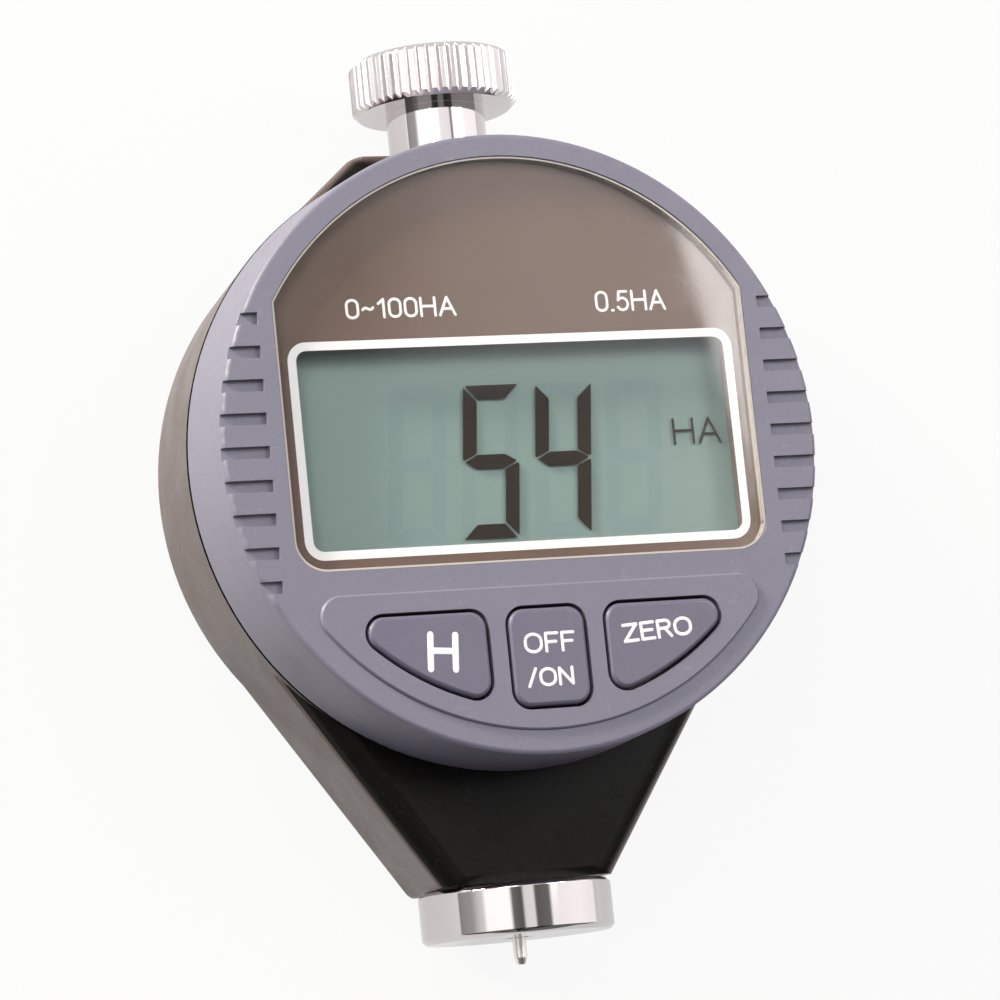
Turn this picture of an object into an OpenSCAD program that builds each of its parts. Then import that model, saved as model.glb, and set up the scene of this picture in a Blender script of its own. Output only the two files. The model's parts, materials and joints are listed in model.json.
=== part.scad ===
// Digital Shore-A durometer, lying on its back with the display up.
// +X is the right of the display, +Y runs up the spindle to the hand knob, +Z out of the display.
// The origin is under the middle of the whole instrument, on the back face of the casting.

/* [Casting] */
// Diameter of the round part of the casting at the bezel seam
case_d = 58.4; // [54:0.2:64]
// Depth of the casting from its back to the bezel seam
case_depth = 16.3; // [15.8:0.1:19]
// Dial axis to the flat on top of the casting
case_top = 29.9; // [29.2:0.1:34]
// Dial axis to the flat at the bottom of the casting
case_bottom = 39.2; // [37:0.1:48]
// Straight width of the top flat between its corner arcs
top_flat = 17.8; // [13:0.2:20]
// Straight width of the bottom flat between its corner arcs
bottom_flat = 12.3; // [11:0.1:18]
// How much of the cast end of the lower arm is machined off to a flat
end_trim = 1.4; // [1:0.1:2]
// Corner radius of the two arms in plan
corner_r = 2.8; // [2.7:0.1:4]
// Draft of the cast side walls in degrees
draft = 4.6; // [2:0.2:5]
// Rounding of the front edge of the arms
front_round = 2.2; // [1:0.1:2.6]
// Rounding of the rear edge
rear_round = 1.5; // [0.6:0.1:1.6]
// Thickness of the back wall
back_wall = 2.6; // [2.4:0.1:3.2]
// Wall of the casting round its cavity, at the seam
case_wall = 4; // [3.8:0.1:4.2]

/* [Bezel] */
// Depth of the bezel from the seam to its face
bezel_depth = 10.2; // [10:0.1:12]
// How far the bezel draws in from the seam to its face, per side
bezel_slope = 0.5; // [0.2:0.05:0.9]
// Step of the bezel inside the casting at the seam, per side
seam_step = 0.05; // [0.02:0.01:0.2]
// Rounding of the bezel's face edge
bezel_round = 0.45; // [0.2:0.05:1.2]
// Chamfer that draws the seam line
seam_chamfer = 0.35; // [0.2:0.05:0.6]
// Thickness of the bezel's face
face_wall = 2.4; // [2.2:0.1:2.8]
// Wall of the hollow bezel at the seam
bezel_wall = 3.8; // [3.4:0.1:3.9]
// Grip grooves on each side
groove_count = 9; // [5:2:9]
// Pitch of the grip grooves
groove_pitch = 3.045; // [2.6:0.005:3.2]
// Height of a groove along the face
groove_h = 1.1; // [0.8:0.1:1.8]
// Depth of a groove below the face
groove_depth = 0.55; // [0.4:0.05:1]
// Inner ends of the grooves from the window's side
groove_clear = 1.42; // [1.2:0.01:2.6]
// Upper wall of the middle groove above the dial axis
groove_offset = 0.49; // [0:0.01:1]

/* [Window] */
// Width of the bezel's face over the window
rim_w = 2.1; // [1.9:0.1:2.7]
// How far the window's straight sides lie inside its arc
side_cut = 3.75; // [3.6:0.05:4.3]
// Dial axis to the lower edge of the window
window_bottom = 11.1; // [10.8:0.1:11.4]
// Lower corner radius of the window
window_corner = 3; // [2:0.1:4]
// Thickness of the lens
lens_t = 1.2; // [1:0.1:1.3]
// Lens surface below the bezel's face
lens_below = 0.15; // [0.05:0.05:0.25]
// Thickness of the printed mask behind the lens
mask_t = 0.3; // [0.2:0.05:0.3]
// Mask at each side of the display aperture
mask_side = 2.05; // [1.95:0.05:3.8]
// Mask below the display aperture
mask_foot = 1.95; // [1.9:0.05:3]
// Corner radius of the display aperture
aperture_corner = 1; // [0.5:0.1:2]

/* [Display] */
// How far the display glass runs behind the mask at each side
lcd_behind = 0.6; // [0.5:0.05:0.8]
// How far it runs behind the mask above and below
lcd_above = 0.95; // [0.7:0.05:1.05]
// Thickness of the display glass
lcd_t = 1.8; // [1.2:0.1:2]
// Thickness of the reflector behind the display glass
reflector_t = 0.3; // [0.2:0.05:0.4]
// Lip of the holder in front of the display glass
holder_lip = 0.8; // [0.6:0.1:1]
// Wall of the display holder
holder_wall = 0.8; // [0.6:0.1:0.9]
// Width of a zebra strip
zebra_w = 1.4; // [1:0.1:1.6]

/* [Circuit board] */
// Gap between the circuit board and the bezel's bore
board_clear = 1.2; // [0.8:0.1:1.8]
// Thickness of the circuit board
board_t = 1.2; // [0.8:0.1:1.3]
// Height of the board's back above the bezel seam
board_lift = 1.1; // [1.1:0.05:1.3]

/* [Keys] */
// Upper edge of the keys below the raised panel's
key_drop = 2.15; // [2:0.05:2.5]
// Outer keys inside the panel's lower arc
key_edge = 2.1; // [1.9:0.05:2.7]
// Middle key inside the panel's lower arc
middle_edge = 2.15; // [1.9:0.05:3]
// Half width of the middle key
key_half = 3.65; // [3:0.05:3.9]
// Inner edge of the outer keys from the middle
key_inner = 5.75; // [5.4:0.05:6.5]
// Corner radius of the keys
key_corner = 1.5; // [0.8:0.05:1.6]
// Gap round a key
key_gap = 0.28; // [0.2:0.02:0.35]
// Height of the raised panel round the keys
pad_raise = 0.3; // [0.15:0.05:0.4]
// Upper edge of the raised panel below the window
pad_drop = 2.2; // [1.9:0.05:2.7]
// Panel inside the bezel's face edge
pad_edge = 2.2; // [1.9:0.05:2.5]
// Corner radius of the raised panel
pad_corner = 2; // [1.5:0.1:2.6]
// How far the key tops stand above the panel
key_proud = 0.15; // [0:0.05:0.3]
// Travel of a key
key_travel = 0.5; // [0.3:0.05:0.6]
// Width of the retaining flange round a key
key_flange = 0.6; // [0.4:0.05:0.6]
// Thickness of the retaining flange
flange_t = 1; // [0.8:0.1:1.2]

/* [Knob] */
// Diameter of the knob's head
knob_d = 15.72; // [13:0.02:18]
// Height of the knob's head
knob_h = 5.02; // [4:0.02:8]
// Diameter of the knob's stem
stem_d = 9.4; // [8.6:0.1:11]
// Visible length of the knob's stem
stem_len = 4.85; // [3:0.05:10]
// Serrations round the head
knurl_count = 50; // [36:2:60]
// Depth of a serration
knurl_depth = 0.36; // [0.2:0.02:0.5]
// Chamfer of the head's rims
knob_chamfer = 0.5; // [0.2:0.05:0.9]
// Length of the knob's threaded shank
shank_len = 4.4; // [3:0.1:4.5]

/* [Presser foot and indenter] */
// Diameter of the presser foot
foot_d = 18; // [16:0.5:20]
// Thickness of the presser foot
foot_t = 4.75; // [4:0.05:7]
// Shoulder that sets the foot off the casting
neck_gap = 0.2; // [0.2:0.05:1]
// Diameter of that shoulder
neck_d = 10.2; // [9.4:0.1:10.4]
// Chamfer of the foot's rims
foot_chamfer = 0.4; // [0.2:0.05:0.8]
// Diameter of the hole in the foot's face
foot_hole_d = 3; // [2.6:0.1:3.4]
// Thickness of the foot's face round the hole
foot_face_t = 2.5; // [2:0.1:3]
// Length of the foot's threaded spigot
spigot_len = 11.5; // [9:0.1:12]
// Indenter beyond the foot at rest
indenter_out = 2.5; // [2.46:0.01:2.54]
// Diameter of the indenter
indenter_d = 1.25; // [1.1:0.01:1.4]
// Diameter of the indenter's flat tip
tip_d = 0.79; // [0.76:0.01:0.82]
// Included angle of the indenter's cone in degrees
tip_angle = 35; // [34:0.25:36]

/* [Spindle] */
// Spindle axis below the bezel seam
axis_below = 5.4; // [5.3:0.05:5.6]
// Diameter of the threaded bores in both arms
arm_bore_d = 8; // [7.6:0.1:8.2]
// Diameter of the spindle
spindle_d = 4; // [3.4:0.1:4.2]
// Outer diameter of the bushes
bush_d = 6; // [5.6:0.1:6.2]
// Running clearance of the spindle, on the radius
run_gap = 0.03; // [0.02:0.01:0.06]
// Lower end of the upper guide tube above the dial axis
guide_low = 6; // [5:0.2:7]
// Length of the upper bush below its flange
bush_len = 3; // [2.6:0.1:3.4]
// Thickness of the upper bush's flange
bush_flange = 1; // [0.8:0.1:1.2]
// Thickness of the spring seat
seat_t = 2; // [1.6:0.1:2.4]
// Length of the load spring at rest
spring_len = 9.9; // [9:0.1:10]
// Wire diameter of the load spring
wire_d = 0.75; // [0.6:0.05:0.8]
// Turns of the load spring
spring_turns = 6.4; // [5:0.2:7]
// Length of the spring adjuster
adjuster_len = 3; // [2.5:0.1:3]

/* [Scale] */
// Middle of the carrier's hub inside the board's lower edge
carrier_in = 13.2; // [12.2:0.2:14.2]
// Length of the carrier's hub
carrier_len = 6; // [5:0.2:7]
// Width of the carrier's plate
plate_w = 10; // [8:0.2:10]
// Length of the carrier's plate
plate_len = 12; // [10:0.2:13]
// Thickness of the carrier's plate
plate_t = 0.8; // [0.6:0.1:1]
// Thickness of the scale strip
strip_t = 0.8; // [0.6:0.1:0.9]
// Air gap between the scale strip and the board
scale_gap = 0.3; // [0.25:0.05:0.4]
// Diameter of the guide pin
guide_pin_d = 2; // [1.6:0.1:2.2]

/* [Battery] */
// Diameter of the cell
cell_d = 11.6; // [11.2:0.1:11.8]
// Thickness of the cell
cell_t = 5.4; // [4.2:0.1:5.4]
// Middle of the battery from the cavity's wall
cell_in = 11.6; // [11.2:0.1:12]
// Middle of the battery below the dial axis
cell_low = 1; // [0:0.2:2]
// Diameter of the cap's flange
cap_d = 15.2; // [14.8:0.1:15.4]
// Cap face below the casting's back
cap_sunk = 0.2; // [0.1:0.05:0.3]
// Thickness of the cap's flange
cap_t = 1; // [0.9:0.05:1.1]

/* [Screws] */
// Upper case screws inside the cavity's wall
screw_up_in = 2.56; // [2.4:0.02:2.8]
// Upper case screws above the middle in degrees
screw_up_angle = 46.8; // [46:0.2:48]
// Lower case screws inside the cavity's wall
screw_low_in = 1.92; // [1.8:0.02:2]
// Lower case screws below the middle in degrees
screw_low_angle = 37; // [36.8:0.1:37.4]
// Diameter of a case screw
screw_d = 2.4; // [2:0.1:2.6]
// Head diameter of a case screw
screw_head_d = 4.2; // [3.8:0.1:4.4]

/* [Hidden] */
$fn = 64;

// Clearances shared by the fits
slip = 0.05;
free_gap = 0.3;
stop_gap = 0.1;
cap_gap = 0.15;
view_gap = 0.4;
cell_gap = 0.2;
end_gap = 0.65;
over = 1;
round_steps = 4;

// Diameters and radii that follow the casting
case_r = case_d / 2;
cavity_d = case_d - 2 * case_wall;
bezel_face_d = case_d - 2 * bezel_slope;
bezel_bore = case_d - 2 * bezel_wall;
board_r = bezel_bore / 2 - board_clear;
carrier_low = board_r - carrier_in;

// Window, display and keys, each inside the one before
window_r = bezel_face_d / 2 - rim_w;
window_w = 2 * (window_r - side_cut);
aperture_w = window_w - 2 * mask_side;
aperture_h = 2 * (window_bottom - mask_foot);
lcd_w = aperture_w + 2 * lcd_behind;
lcd_h = aperture_h + 2 * lcd_above;
groove_inner = window_w / 2 + groove_clear;
pad_top = window_bottom + pad_drop;
pad_arc = bezel_face_d / 2 - pad_edge;
key_top = pad_top + key_drop;
key_arc = pad_arc - key_edge;
key_low = pad_arc - middle_edge;

// Heights above the back
face_z = case_depth + bezel_depth;
axis_z = case_depth - axis_below;
pad_z = face_z + pad_raise;
under_z = face_z - face_wall;
lens_z = face_z - lens_below - lens_t;
mask_z = lens_z - mask_t;
board_z = case_depth + board_lift;
board_front = board_z + board_t;
lcd_top = under_z - holder_lip;
lcd_z = lcd_top - lcd_t;

// Places along the spindle, from the dial axis
foot_y = -case_bottom - neck_gap - foot_t;
tip_y = foot_y - indenter_out;
knob_y = case_top + stem_len;
knob_top = knob_y + knob_h;
spigot_top = spigot_len - case_bottom;
spindle_low = foot_y + foot_face_t + end_gap;
bush_top = guide_low + bush_len + bush_flange;
seat_y = bush_top + stop_gap;
spring_y = seat_y + seat_t;
adjuster_y = spring_y + spring_len;
spindle_tail = 0.9;
spindle_top = spring_y + spindle_tail;
indenter_grip = 6;

// The dial axis lies where the instrument's ends are equally far from the origin
dial_y = -(knob_top + tip_y) / 2;

// Widths that follow from the sizes above
blend_step = 0.15;
guide_wall = 1.2;
guide_r = arm_bore_d / 2 + guide_wall;
rib_w = 3;
spindle_r = spindle_d / 2;
thread_r = arm_bore_d / 2 - slip;
bezel_rear_r = case_r - seam_step;
boss_wall = 1;
boss_r = screw_d / 2 + boss_wall;
pillar_wall = 0.9;
pillar_r = screw_head_d / 2 + pillar_wall;
screw_seat_z = 3;
case_head_t = 1.8;
screw_grip = 3;
cell_x = cavity_d / 2 - cell_in;
well_r = cell_d / 2 + cell_gap;
well_wall = 1.2;
cap_ledge = 0.7;
cap_hole_r = well_r + cap_ledge;
cap_recess_r = cap_d / 2 + cap_gap;
seal_r = 0.17;
seal_room = 0.4;
cap_recess = cap_sunk + cap_t + seal_room;
lug_r = cap_d / 2 - stop_gap;
lug_z = back_wall + cap_gap;
lug_t = 0.8;
lug_w = 3.4;
notch_w = 4;
cell_z = lug_z + lug_t + stop_gap;
cell_rim = 0.5;
contact_t = 0.3;
contact_w = 3;
leaf_reach = 4;
leaf_tail = 0.6;
guide_pin_r = guide_pin_d / 2;
guide_pin_set = 1.3;
guide_pin_y = guide_pin_set - carrier_low;
pin_root = 1.4;
pin_wall = 1.2;
travel = indenter_out;
hub_wall = 2.2;
hub_r = spindle_r + hub_wall;
grub_r = 1;
plate_z = board_z - scale_gap - strip_t - plate_t;
flange_gap = 0.2;
key_z = under_z - flange_gap - flange_t;
key_top_z = pad_z + key_proud;
key_soft = 0.25;
switch_h = 2.8;
switch_w = 5;
switch_floor = 0.5;
switch_up = 0.4;
plunger_r = 1.5;
chip_x = 6;
chip_r = 5;
chip_top_r = 3.6;
chip_h = 1.3;
can_x = 6;
can_r = 1;
can_len = 6;

// Places of the case screws and of the board screws
screw_up = (cavity_d / 2 - screw_up_in) * [cos(screw_up_angle), sin(screw_up_angle)];
screw_low = (cavity_d / 2 - screw_low_in) * [cos(screw_low_angle), -sin(screw_low_angle)];
screw_places = [[-screw_up[0], screw_up[1]], screw_up, [-screw_low[0], screw_low[1]], screw_low];
board_boss_r = 1.5;
board_screw_r = 0.75;
board_up_in = 2.27;
board_up_angle = 65.8;
board_low_x = 10.5;
board_step = 0.5;
board_up = (board_r - board_up_in) * [cos(board_up_angle), sin(board_up_angle)];
board_low = [board_low_x, -lcd_h / 2 - holder_wall - board_boss_r - board_step];
board_places = [[-board_up[0], board_up[1]], board_up, [-board_low[0], board_low[1]], board_low];
board_head_t = 0.8;
board_grip = 3.5;

// Rounding of an edge as [height, inset] steps
function arc_steps(r) = [for (i = [0 : round_steps]) let (a = 90 * i / round_steps)
  [r * (1 - cos(a)), r * (1 - sin(a))]];
function drafted(z) = (case_depth - z) * tan(draft);

// Frames
module at_dial() { translate([0, dial_y, 0]) children(); }
module on_axis(y) { translate([0, y, axis_z]) rotate([-90, 0, 0]) children(); }
module mirrored() { children(); mirror([1, 0, 0]) children(); }

// A plate with round corners, centred on its outline
module round_plate(w, h, r) {
  square([w - 2 * r, h], center = true);
  square([w, h - 2 * r], center = true);
  for (x = [-1, 1], y = [-1, 1])
    translate([x * (w / 2 - r), y * (h / 2 - r)]) circle(r);
}

// A turned ring or rod from low to high
module turned(r, low, high, bore = 0) {
  translate([0, 0, low])
    difference() {
      cylinder(h = high - low, r = r);
      if (bore > 0) translate([0, 0, -over]) cylinder(h = high - low + 2 * over, r = bore);
    }
}

// Casting

// One slice of the arms, from the lower to the upper [height, inset] step
module arm_slice(low, high) {
  h = high[0] - low[0];
  in_low = low[1] + drafted(low[0]);
  in_high = high[1] + drafted(high[0]);
  translate([0, 0, low[0]]) {
    cylinder(h = h, r1 = case_r - blend_step - in_low, r2 = case_r - blend_step - in_high, $fn = 96);
    for (x = [-1, 1]) {
      translate([x * top_flat / 2, case_top - corner_r, 0])
        cylinder(h = h, r1 = corner_r - in_low, r2 = corner_r - in_high, $fn = 32);
      translate([x * bottom_flat / 2, corner_r - case_bottom - end_trim, 0])
        cylinder(h = h, r1 = corner_r - in_low, r2 = corner_r - in_high, $fn = 32);
    }
  }
}

// Both arms with drafted walls, rounded front and rear edges and a machined lower end
module arms() {
  reach = case_d + end_trim;
  rear = [for (s = arc_steps(rear_round)) [s[0], s[1]]];
  front = [for (i = [round_steps : -1 : 0]) let (s = arc_steps(front_round)[i])
    [case_depth - s[0], s[1]]];
  steps = concat(rear, front);
  difference() {
    hull()
      for (i = [0 : len(steps) - 2]) arm_slice(steps[i], steps[i + 1]);
    translate([-reach / 2, -case_bottom - reach, -over]) cube([reach, reach, case_depth + 2 * over]);
  }
}

// The round body, which stands a little proud of the arms
module round_body() {
  rear = [for (s = arc_steps(rear_round)) [case_r - drafted(s[0]) - s[1], s[0]]];
  rotate_extrude($fn = 128)
    polygon(concat([[0, 0]], rear, [[case_r, case_depth], [0, case_depth]]));
}

// Round well that holds the cell behind the back wall
module battery_well() {
  translate([cell_x, -cell_low, back_wall - over])
    difference() {
      cylinder(h = lug_z + lug_t + cell_t - back_wall + over - leaf_tail, r = lug_r + cap_gap + well_wall);
      translate([0, 0, -over]) cylinder(h = cell_t + 4 * over + back_wall, r = well_r);
      translate([0, 0, -over])
        cylinder(h = lug_z + lug_t + stop_gap - back_wall + 2 * over, r = lug_r + cap_gap);
      translate([well_r - over, -contact_w / 2 - free_gap, lug_z + lug_t - back_wall + 2 * over])
        cube([4 * over + well_wall, contact_w + 2 * free_gap, cell_t + 2 * over]);
    }
}

// Recess, hole and the two lug notches of the quarter-turn cap
module cap_cut() {
  translate([cell_x, -cell_low, 0]) {
    translate([0, 0, -over]) cylinder(h = cap_recess + over, r = cap_recess_r);
    translate([0, 0, -over]) cylinder(h = back_wall + 2 * over, r = cap_hole_r);
    intersection() {
      translate([0, 0, -over]) cylinder(h = back_wall + 2 * over, r = lug_r + cap_gap);
      cube([notch_w, 4 * cap_d, 4 * back_wall], center = true);
    }
  }
}

module main_casting() {
  color("#1c1b1b") at_dial()
    difference() {
      union() {
        difference() {
          union() {
            arms();
            round_body();
          }
          translate([0, 0, back_wall]) cylinder(h = case_depth, d = cavity_d);
        }
        battery_well();
        on_axis(guide_low) cylinder(h = case_top - guide_low, r = guide_r);
        on_axis(-case_bottom) cylinder(h = case_bottom - cavity_d / 2, r = guide_r);
        translate([-rib_w / 2, guide_low, back_wall - over])
          cube([rib_w, cavity_d / 2 - guide_low, axis_z - back_wall - bush_d / 2]);
        for (p = screw_places)
          translate([p[0], p[1], back_wall - over])
            cylinder(h = case_depth - back_wall + over, r = pillar_r);
        translate([0, guide_pin_y, back_wall - over]) cylinder(h = 2 * over, r = guide_pin_r + pin_wall);
      }
      on_axis(guide_low + bush_len) cylinder(h = case_top, d = arm_bore_d);
      on_axis(guide_low - over) cylinder(h = bush_len + 2 * over, d = bush_d);
      on_axis(-case_bottom - over) cylinder(h = case_bottom - cavity_d / 2 + 3 * over, d = arm_bore_d);
      cap_cut();
      for (p = screw_places)
        translate([p[0], p[1], -over]) {
          cylinder(h = case_depth + 2 * over, r = screw_d / 2 + cell_gap);
          cylinder(h = screw_seat_z + over, r = screw_head_d / 2 + cell_gap);
        }
      translate([0, guide_pin_y, back_wall - pin_root]) cylinder(h = 4 * over, r = guide_pin_r);
    }
}

// Bezel

module window_outline(clear = 0) {
  tall = window_r + window_bottom;
  intersection() {
    circle(window_r - clear, $fn = 160);
    translate([0, tall / 2 - window_bottom])
      round_plate(window_w - 2 * clear, tall - 2 * clear, window_corner - clear);
  }
}

// Outline of an outer key, on the left of the display
module outer_key(grow = 0) {
  offset(r = grow + key_corner) offset(delta = -key_corner)
    intersection() {
      circle(key_arc, $fn = 120);
      translate([-key_arc, -key_arc]) square([key_arc - key_inner, key_arc - key_top]);
    }
}

module middle_key(grow = 0) {
  translate([0, -(key_top + key_low) / 2])
    round_plate(2 * (key_half + grow), key_low - key_top + 2 * grow, key_corner + grow);
}

module all_keys(grow) {
  mirrored() outer_key(grow);
  middle_key(grow);
}

module pad_outline() {
  offset(r = pad_corner) offset(delta = -pad_corner)
    intersection() {
      circle(pad_arc, $fn = 160);
      translate([-pad_arc, -pad_arc]) square([2 * pad_arc, pad_arc - pad_top]);
    }
}

// A block whose top edge is eased all round, for outlines with no hollows
module eased_block(h, soft) {
  hull() {
    linear_extrude(h - soft) children();
    linear_extrude(h) offset(delta = -soft) children();
  }
}

// Grooves of even depth that run out through the rim
module grip_grooves() {
  half = (groove_count - 1) / 2;
  for (i = [-half : half])
    translate([groove_inner, groove_offset + i * groove_pitch, face_z])
      rotate([90, 0, 90])
        linear_extrude(case_r)
          translate([-groove_h, -groove_depth]) square([groove_h, groove_depth + over]);
}

module bezel_shell() {
  face_r = bezel_face_d / 2;
  edge = [for (s = arc_steps(bezel_round)) [face_r - s[1], face_z - s[0]]];
  rim = [for (i = [round_steps : -1 : 0]) edge[i]];
  rotate_extrude($fn = 128)
    polygon(concat(
      [[bezel_bore / 2, case_depth], [bezel_rear_r - seam_chamfer, case_depth],
       [bezel_rear_r, case_depth + seam_chamfer]],
      rim,
      [[0, face_z], [0, under_z], [bezel_bore / 2, under_z]]));
}

module front_bezel() {
  color("#85839a") at_dial()
    difference() {
      union() {
        bezel_shell();
        translate([0, 0, face_z - over]) eased_block(over + pad_raise, pad_raise / 2) pad_outline();
        for (p = screw_places)
          translate([p[0], p[1], case_depth]) cylinder(h = under_z - case_depth + over / 2, r = boss_r);
        for (p = board_places)
          translate([p[0], p[1], board_front])
            cylinder(h = under_z - board_front + over / 2, r = board_boss_r);
      }
      translate([0, 0, mask_z]) linear_extrude(face_z) window_outline();
      translate([0, 0, under_z - over]) linear_extrude(face_z)
        round_plate(aperture_w + 2 * view_gap, aperture_h + 2 * view_gap, aperture_corner);
      translate([0, 0, under_z - over]) linear_extrude(face_z) all_keys(key_gap);
      mirrored() grip_grooves();
      for (p = screw_places)
        translate([p[0], p[1], case_depth - over])
          cylinder(h = under_z - case_depth - over, r = screw_d / 2 + slip);
      for (p = board_places)
        translate([p[0], p[1], board_front - over])
          cylinder(h = board_grip + 1.5 * over, r = board_screw_r + slip);
    }
}

module window_lens() {
  color("#d8d8d0", 0.3) at_dial()
    translate([0, 0, lens_z]) linear_extrude(lens_t) window_outline(slip);
}

module window_mask() {
  color("#3a302c") at_dial()
    translate([0, 0, mask_z])
      difference() {
        linear_extrude(mask_t) window_outline(slip);
        translate([0, 0, -over]) linear_extrude(mask_t + 2 * over)
          round_plate(aperture_w, aperture_h, aperture_corner);
      }
}

// Display

module lcd_glass() {
  color("#8fa39a", 0.5) at_dial()
    translate([-lcd_w / 2, -lcd_h / 2, lcd_z]) cube([lcd_w, lcd_h, lcd_t]);
}

module lcd_reflector() {
  inner_h = lcd_h - 2 * zebra_w - 2 * over;
  color("#8a9c94") at_dial()
    translate([-lcd_w / 2, -inner_h / 2, lcd_z - reflector_t]) cube([lcd_w, inner_h, reflector_t]);
}

module lcd_holder() {
  in_w = lcd_w + 2 * slip;
  in_h = lcd_h + 2 * slip;
  color("#d9d8d2") at_dial()
    translate([0, 0, board_front])
      difference() {
        linear_extrude(under_z - board_front)
          square([in_w + 2 * holder_wall, in_h + 2 * holder_wall], center = true);
        translate([0, 0, -over]) linear_extrude(lcd_top - board_front + over)
          square([in_w, in_h], center = true);
        translate([0, 0, -over]) linear_extrude(face_z)
          square([aperture_w + lcd_behind, aperture_h + lcd_above], center = true);
      }
}

module zebra_strips() {
  color("#d8d0c4") at_dial()
    for (s = [-1, 1])
      translate([over - lcd_w / 2, s * (lcd_h - zebra_w) / 2 - zebra_w / 2, board_front])
        cube([lcd_w - 2 * over, zebra_w, lcd_z - board_front]);
}

// Circuit board

module circuit_board() {
  color("#2f6b3c") at_dial()
    translate([0, 0, board_z])
      difference() {
        cylinder(h = board_t, r = board_r);
        for (p = screw_places)
          translate([p[0], p[1], -over]) cylinder(h = board_t + 2 * over, r = boss_r + free_gap);
        for (p = board_places)
          translate([p[0], p[1], -over]) cylinder(h = board_t + 2 * over, r = board_screw_r + stop_gap);
      }
}

module processor_chip() {
  color("#222222") at_dial()
    translate([-chip_x, 0, board_front])
      cylinder(h = chip_h, r1 = chip_r, r2 = chip_top_r);
}

module quartz_can() {
  color("#c8c8c8") at_dial()
    translate([can_x, 0, board_front + can_r]) rotate([0, 90, 0]) cylinder(h = can_len, r = can_r);
}

// Keys and switches

// Key cap with a softened top edge and a retaining flange under the bezel's face
module key_cap(outline) {
  at_dial()
    translate([0, 0, key_z]) {
      linear_extrude(flange_t) key_outline(outline, key_flange);
      eased_block(key_top_z - key_z, key_soft) key_outline(outline, 0);
    }
}

module key_outline(outline, grow) {
  if (outline == "hold") outer_key(grow);
  if (outline == "power") middle_key(grow);
  if (outline == "zero") mirror([1, 0, 0]) outer_key(grow);
}

module hold_key() { color("#78778c") key_cap("hold"); }
module power_key() { color("#78778c") key_cap("power"); }
module zero_key() { color("#78778c") key_cap("zero"); }

// Middle of each switch, from the dial axis
switch_y = switch_up - (key_top + key_low) / 2;
switch_low = switch_y - switch_w / 2;
switch_out = sqrt(pow(bezel_bore / 2 - free_gap, 2) - pow(switch_low, 2)) - switch_w / 2;

module switch_bodies() {
  color("#303030") at_dial()
    for (x = [-switch_out, 0, switch_out])
      translate([x, switch_y, board_front])
        difference() {
          translate([-switch_w / 2, -switch_w / 2, 0]) cube([switch_w, switch_w, switch_h]);
          translate([0, 0, switch_floor]) cylinder(h = switch_h, r = plunger_r + stop_gap);
        }
}

module plunger(x) {
  low = board_front + switch_floor + key_travel + free_gap;
  at_dial() translate([x, switch_y, 0]) turned(plunger_r, low, key_z);
}

module hold_plunger() { color("#e6e2d6") plunger(-switch_out); }
module power_plunger() { color("#e6e2d6") plunger(0); }
module zero_plunger() { color("#e6e2d6") plunger(switch_out); }

// Battery

module at_cell() { at_dial() translate([cell_x, -cell_low, 0]) children(); }

module battery_cell() {
  r = cell_d / 2;
  color("#c9c9c4") at_cell()
    translate([0, 0, cell_z])
      rotate_extrude()
        polygon([[0, 0], [r - cell_rim, 0], [r, cell_rim], [r, cell_t - 2 * cell_rim],
          [r - cell_rim, cell_t - cell_rim], [r - 3 * cell_rim, cell_t - cell_rim],
          [r - 3.6 * cell_rim, cell_t], [0, cell_t]]);
}

// Quarter-turn cap with a coin slot and two lugs behind the back wall
module battery_cap() {
  skirt_r = cap_hole_r - cap_gap;
  slot_w = 1.6;
  slot_deep = 0.7;
  color("#2a2a2a") at_cell()
    difference() {
      union() {
        turned(cap_d / 2, cap_sunk, cap_sunk + cap_t);
        turned(skirt_r, cap_sunk, lug_z + lug_t);
        intersection() {
          turned(lug_r, lug_z, lug_z + lug_t);
          translate([0, 0, lug_z]) cube([4 * cap_d, lug_w, 4 * lug_t], center = true);
        }
      }
      translate([0, 0, cap_sunk]) cube([cap_d - 2 * slot_w, slot_w, 2 * slot_deep], center = true);
    }
}

module cap_seal() {
  color("#151515") at_cell()
    translate([0, 0, cap_sunk + cap_t + seal_r])
      rotate_extrude() translate([(cap_d / 2 + cap_hole_r) / 2 - slip, 0]) circle(seal_r, $fn = 24);
}

// Leaf from the board to the cell's cap
module cell_contact_negative() {
  reach = leaf_reach;
  cell_top = cell_z + cell_t;
  color("#c8a860") at_cell()
    translate([0, contact_w / 2, 0]) rotate([90, 0, 0])
      linear_extrude(contact_w)
        polygon([[-reach, board_z], [-reach, board_z - contact_t], [-contact_t, board_z - contact_t],
          [-reach + contact_t, cell_top + contact_t], [-reach + contact_t, cell_top], [0, cell_top],
          [0, cell_top + contact_t], [-reach + 3 * contact_t, cell_top + contact_t],
          [leaf_tail, board_z - contact_t], [leaf_tail, board_z]]);
}

// Leaf from the board down the side of the cell
module cell_contact_positive() {
  side = cell_d / 2;
  foot = 2;
  low = cell_z + 2.2;
  color("#c8a860") at_cell()
    translate([0, contact_w / 2, 0]) rotate([90, 0, 0])
      linear_extrude(contact_w)
        polygon([[side, low], [side + contact_t, low], [side + contact_t, board_z - contact_t],
          [side + foot, board_z - contact_t], [side + foot, board_z], [side, board_z]]);
}

// Knob

// Round head whose rim carries straight V serrations
module knurled_disc() {
  step = 360 / knurl_count;
  r = knob_d / 2;
  crest = step * 0.21;
  crests = [-crest, crest, step / 2];
  polygon([for (i = [0 : knurl_count - 1], k = [0 : 2]) let (a = i * step + crests[k])
    (k == 2 ? r - knurl_depth : r) * [cos(a), sin(a)]]);
}

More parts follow.
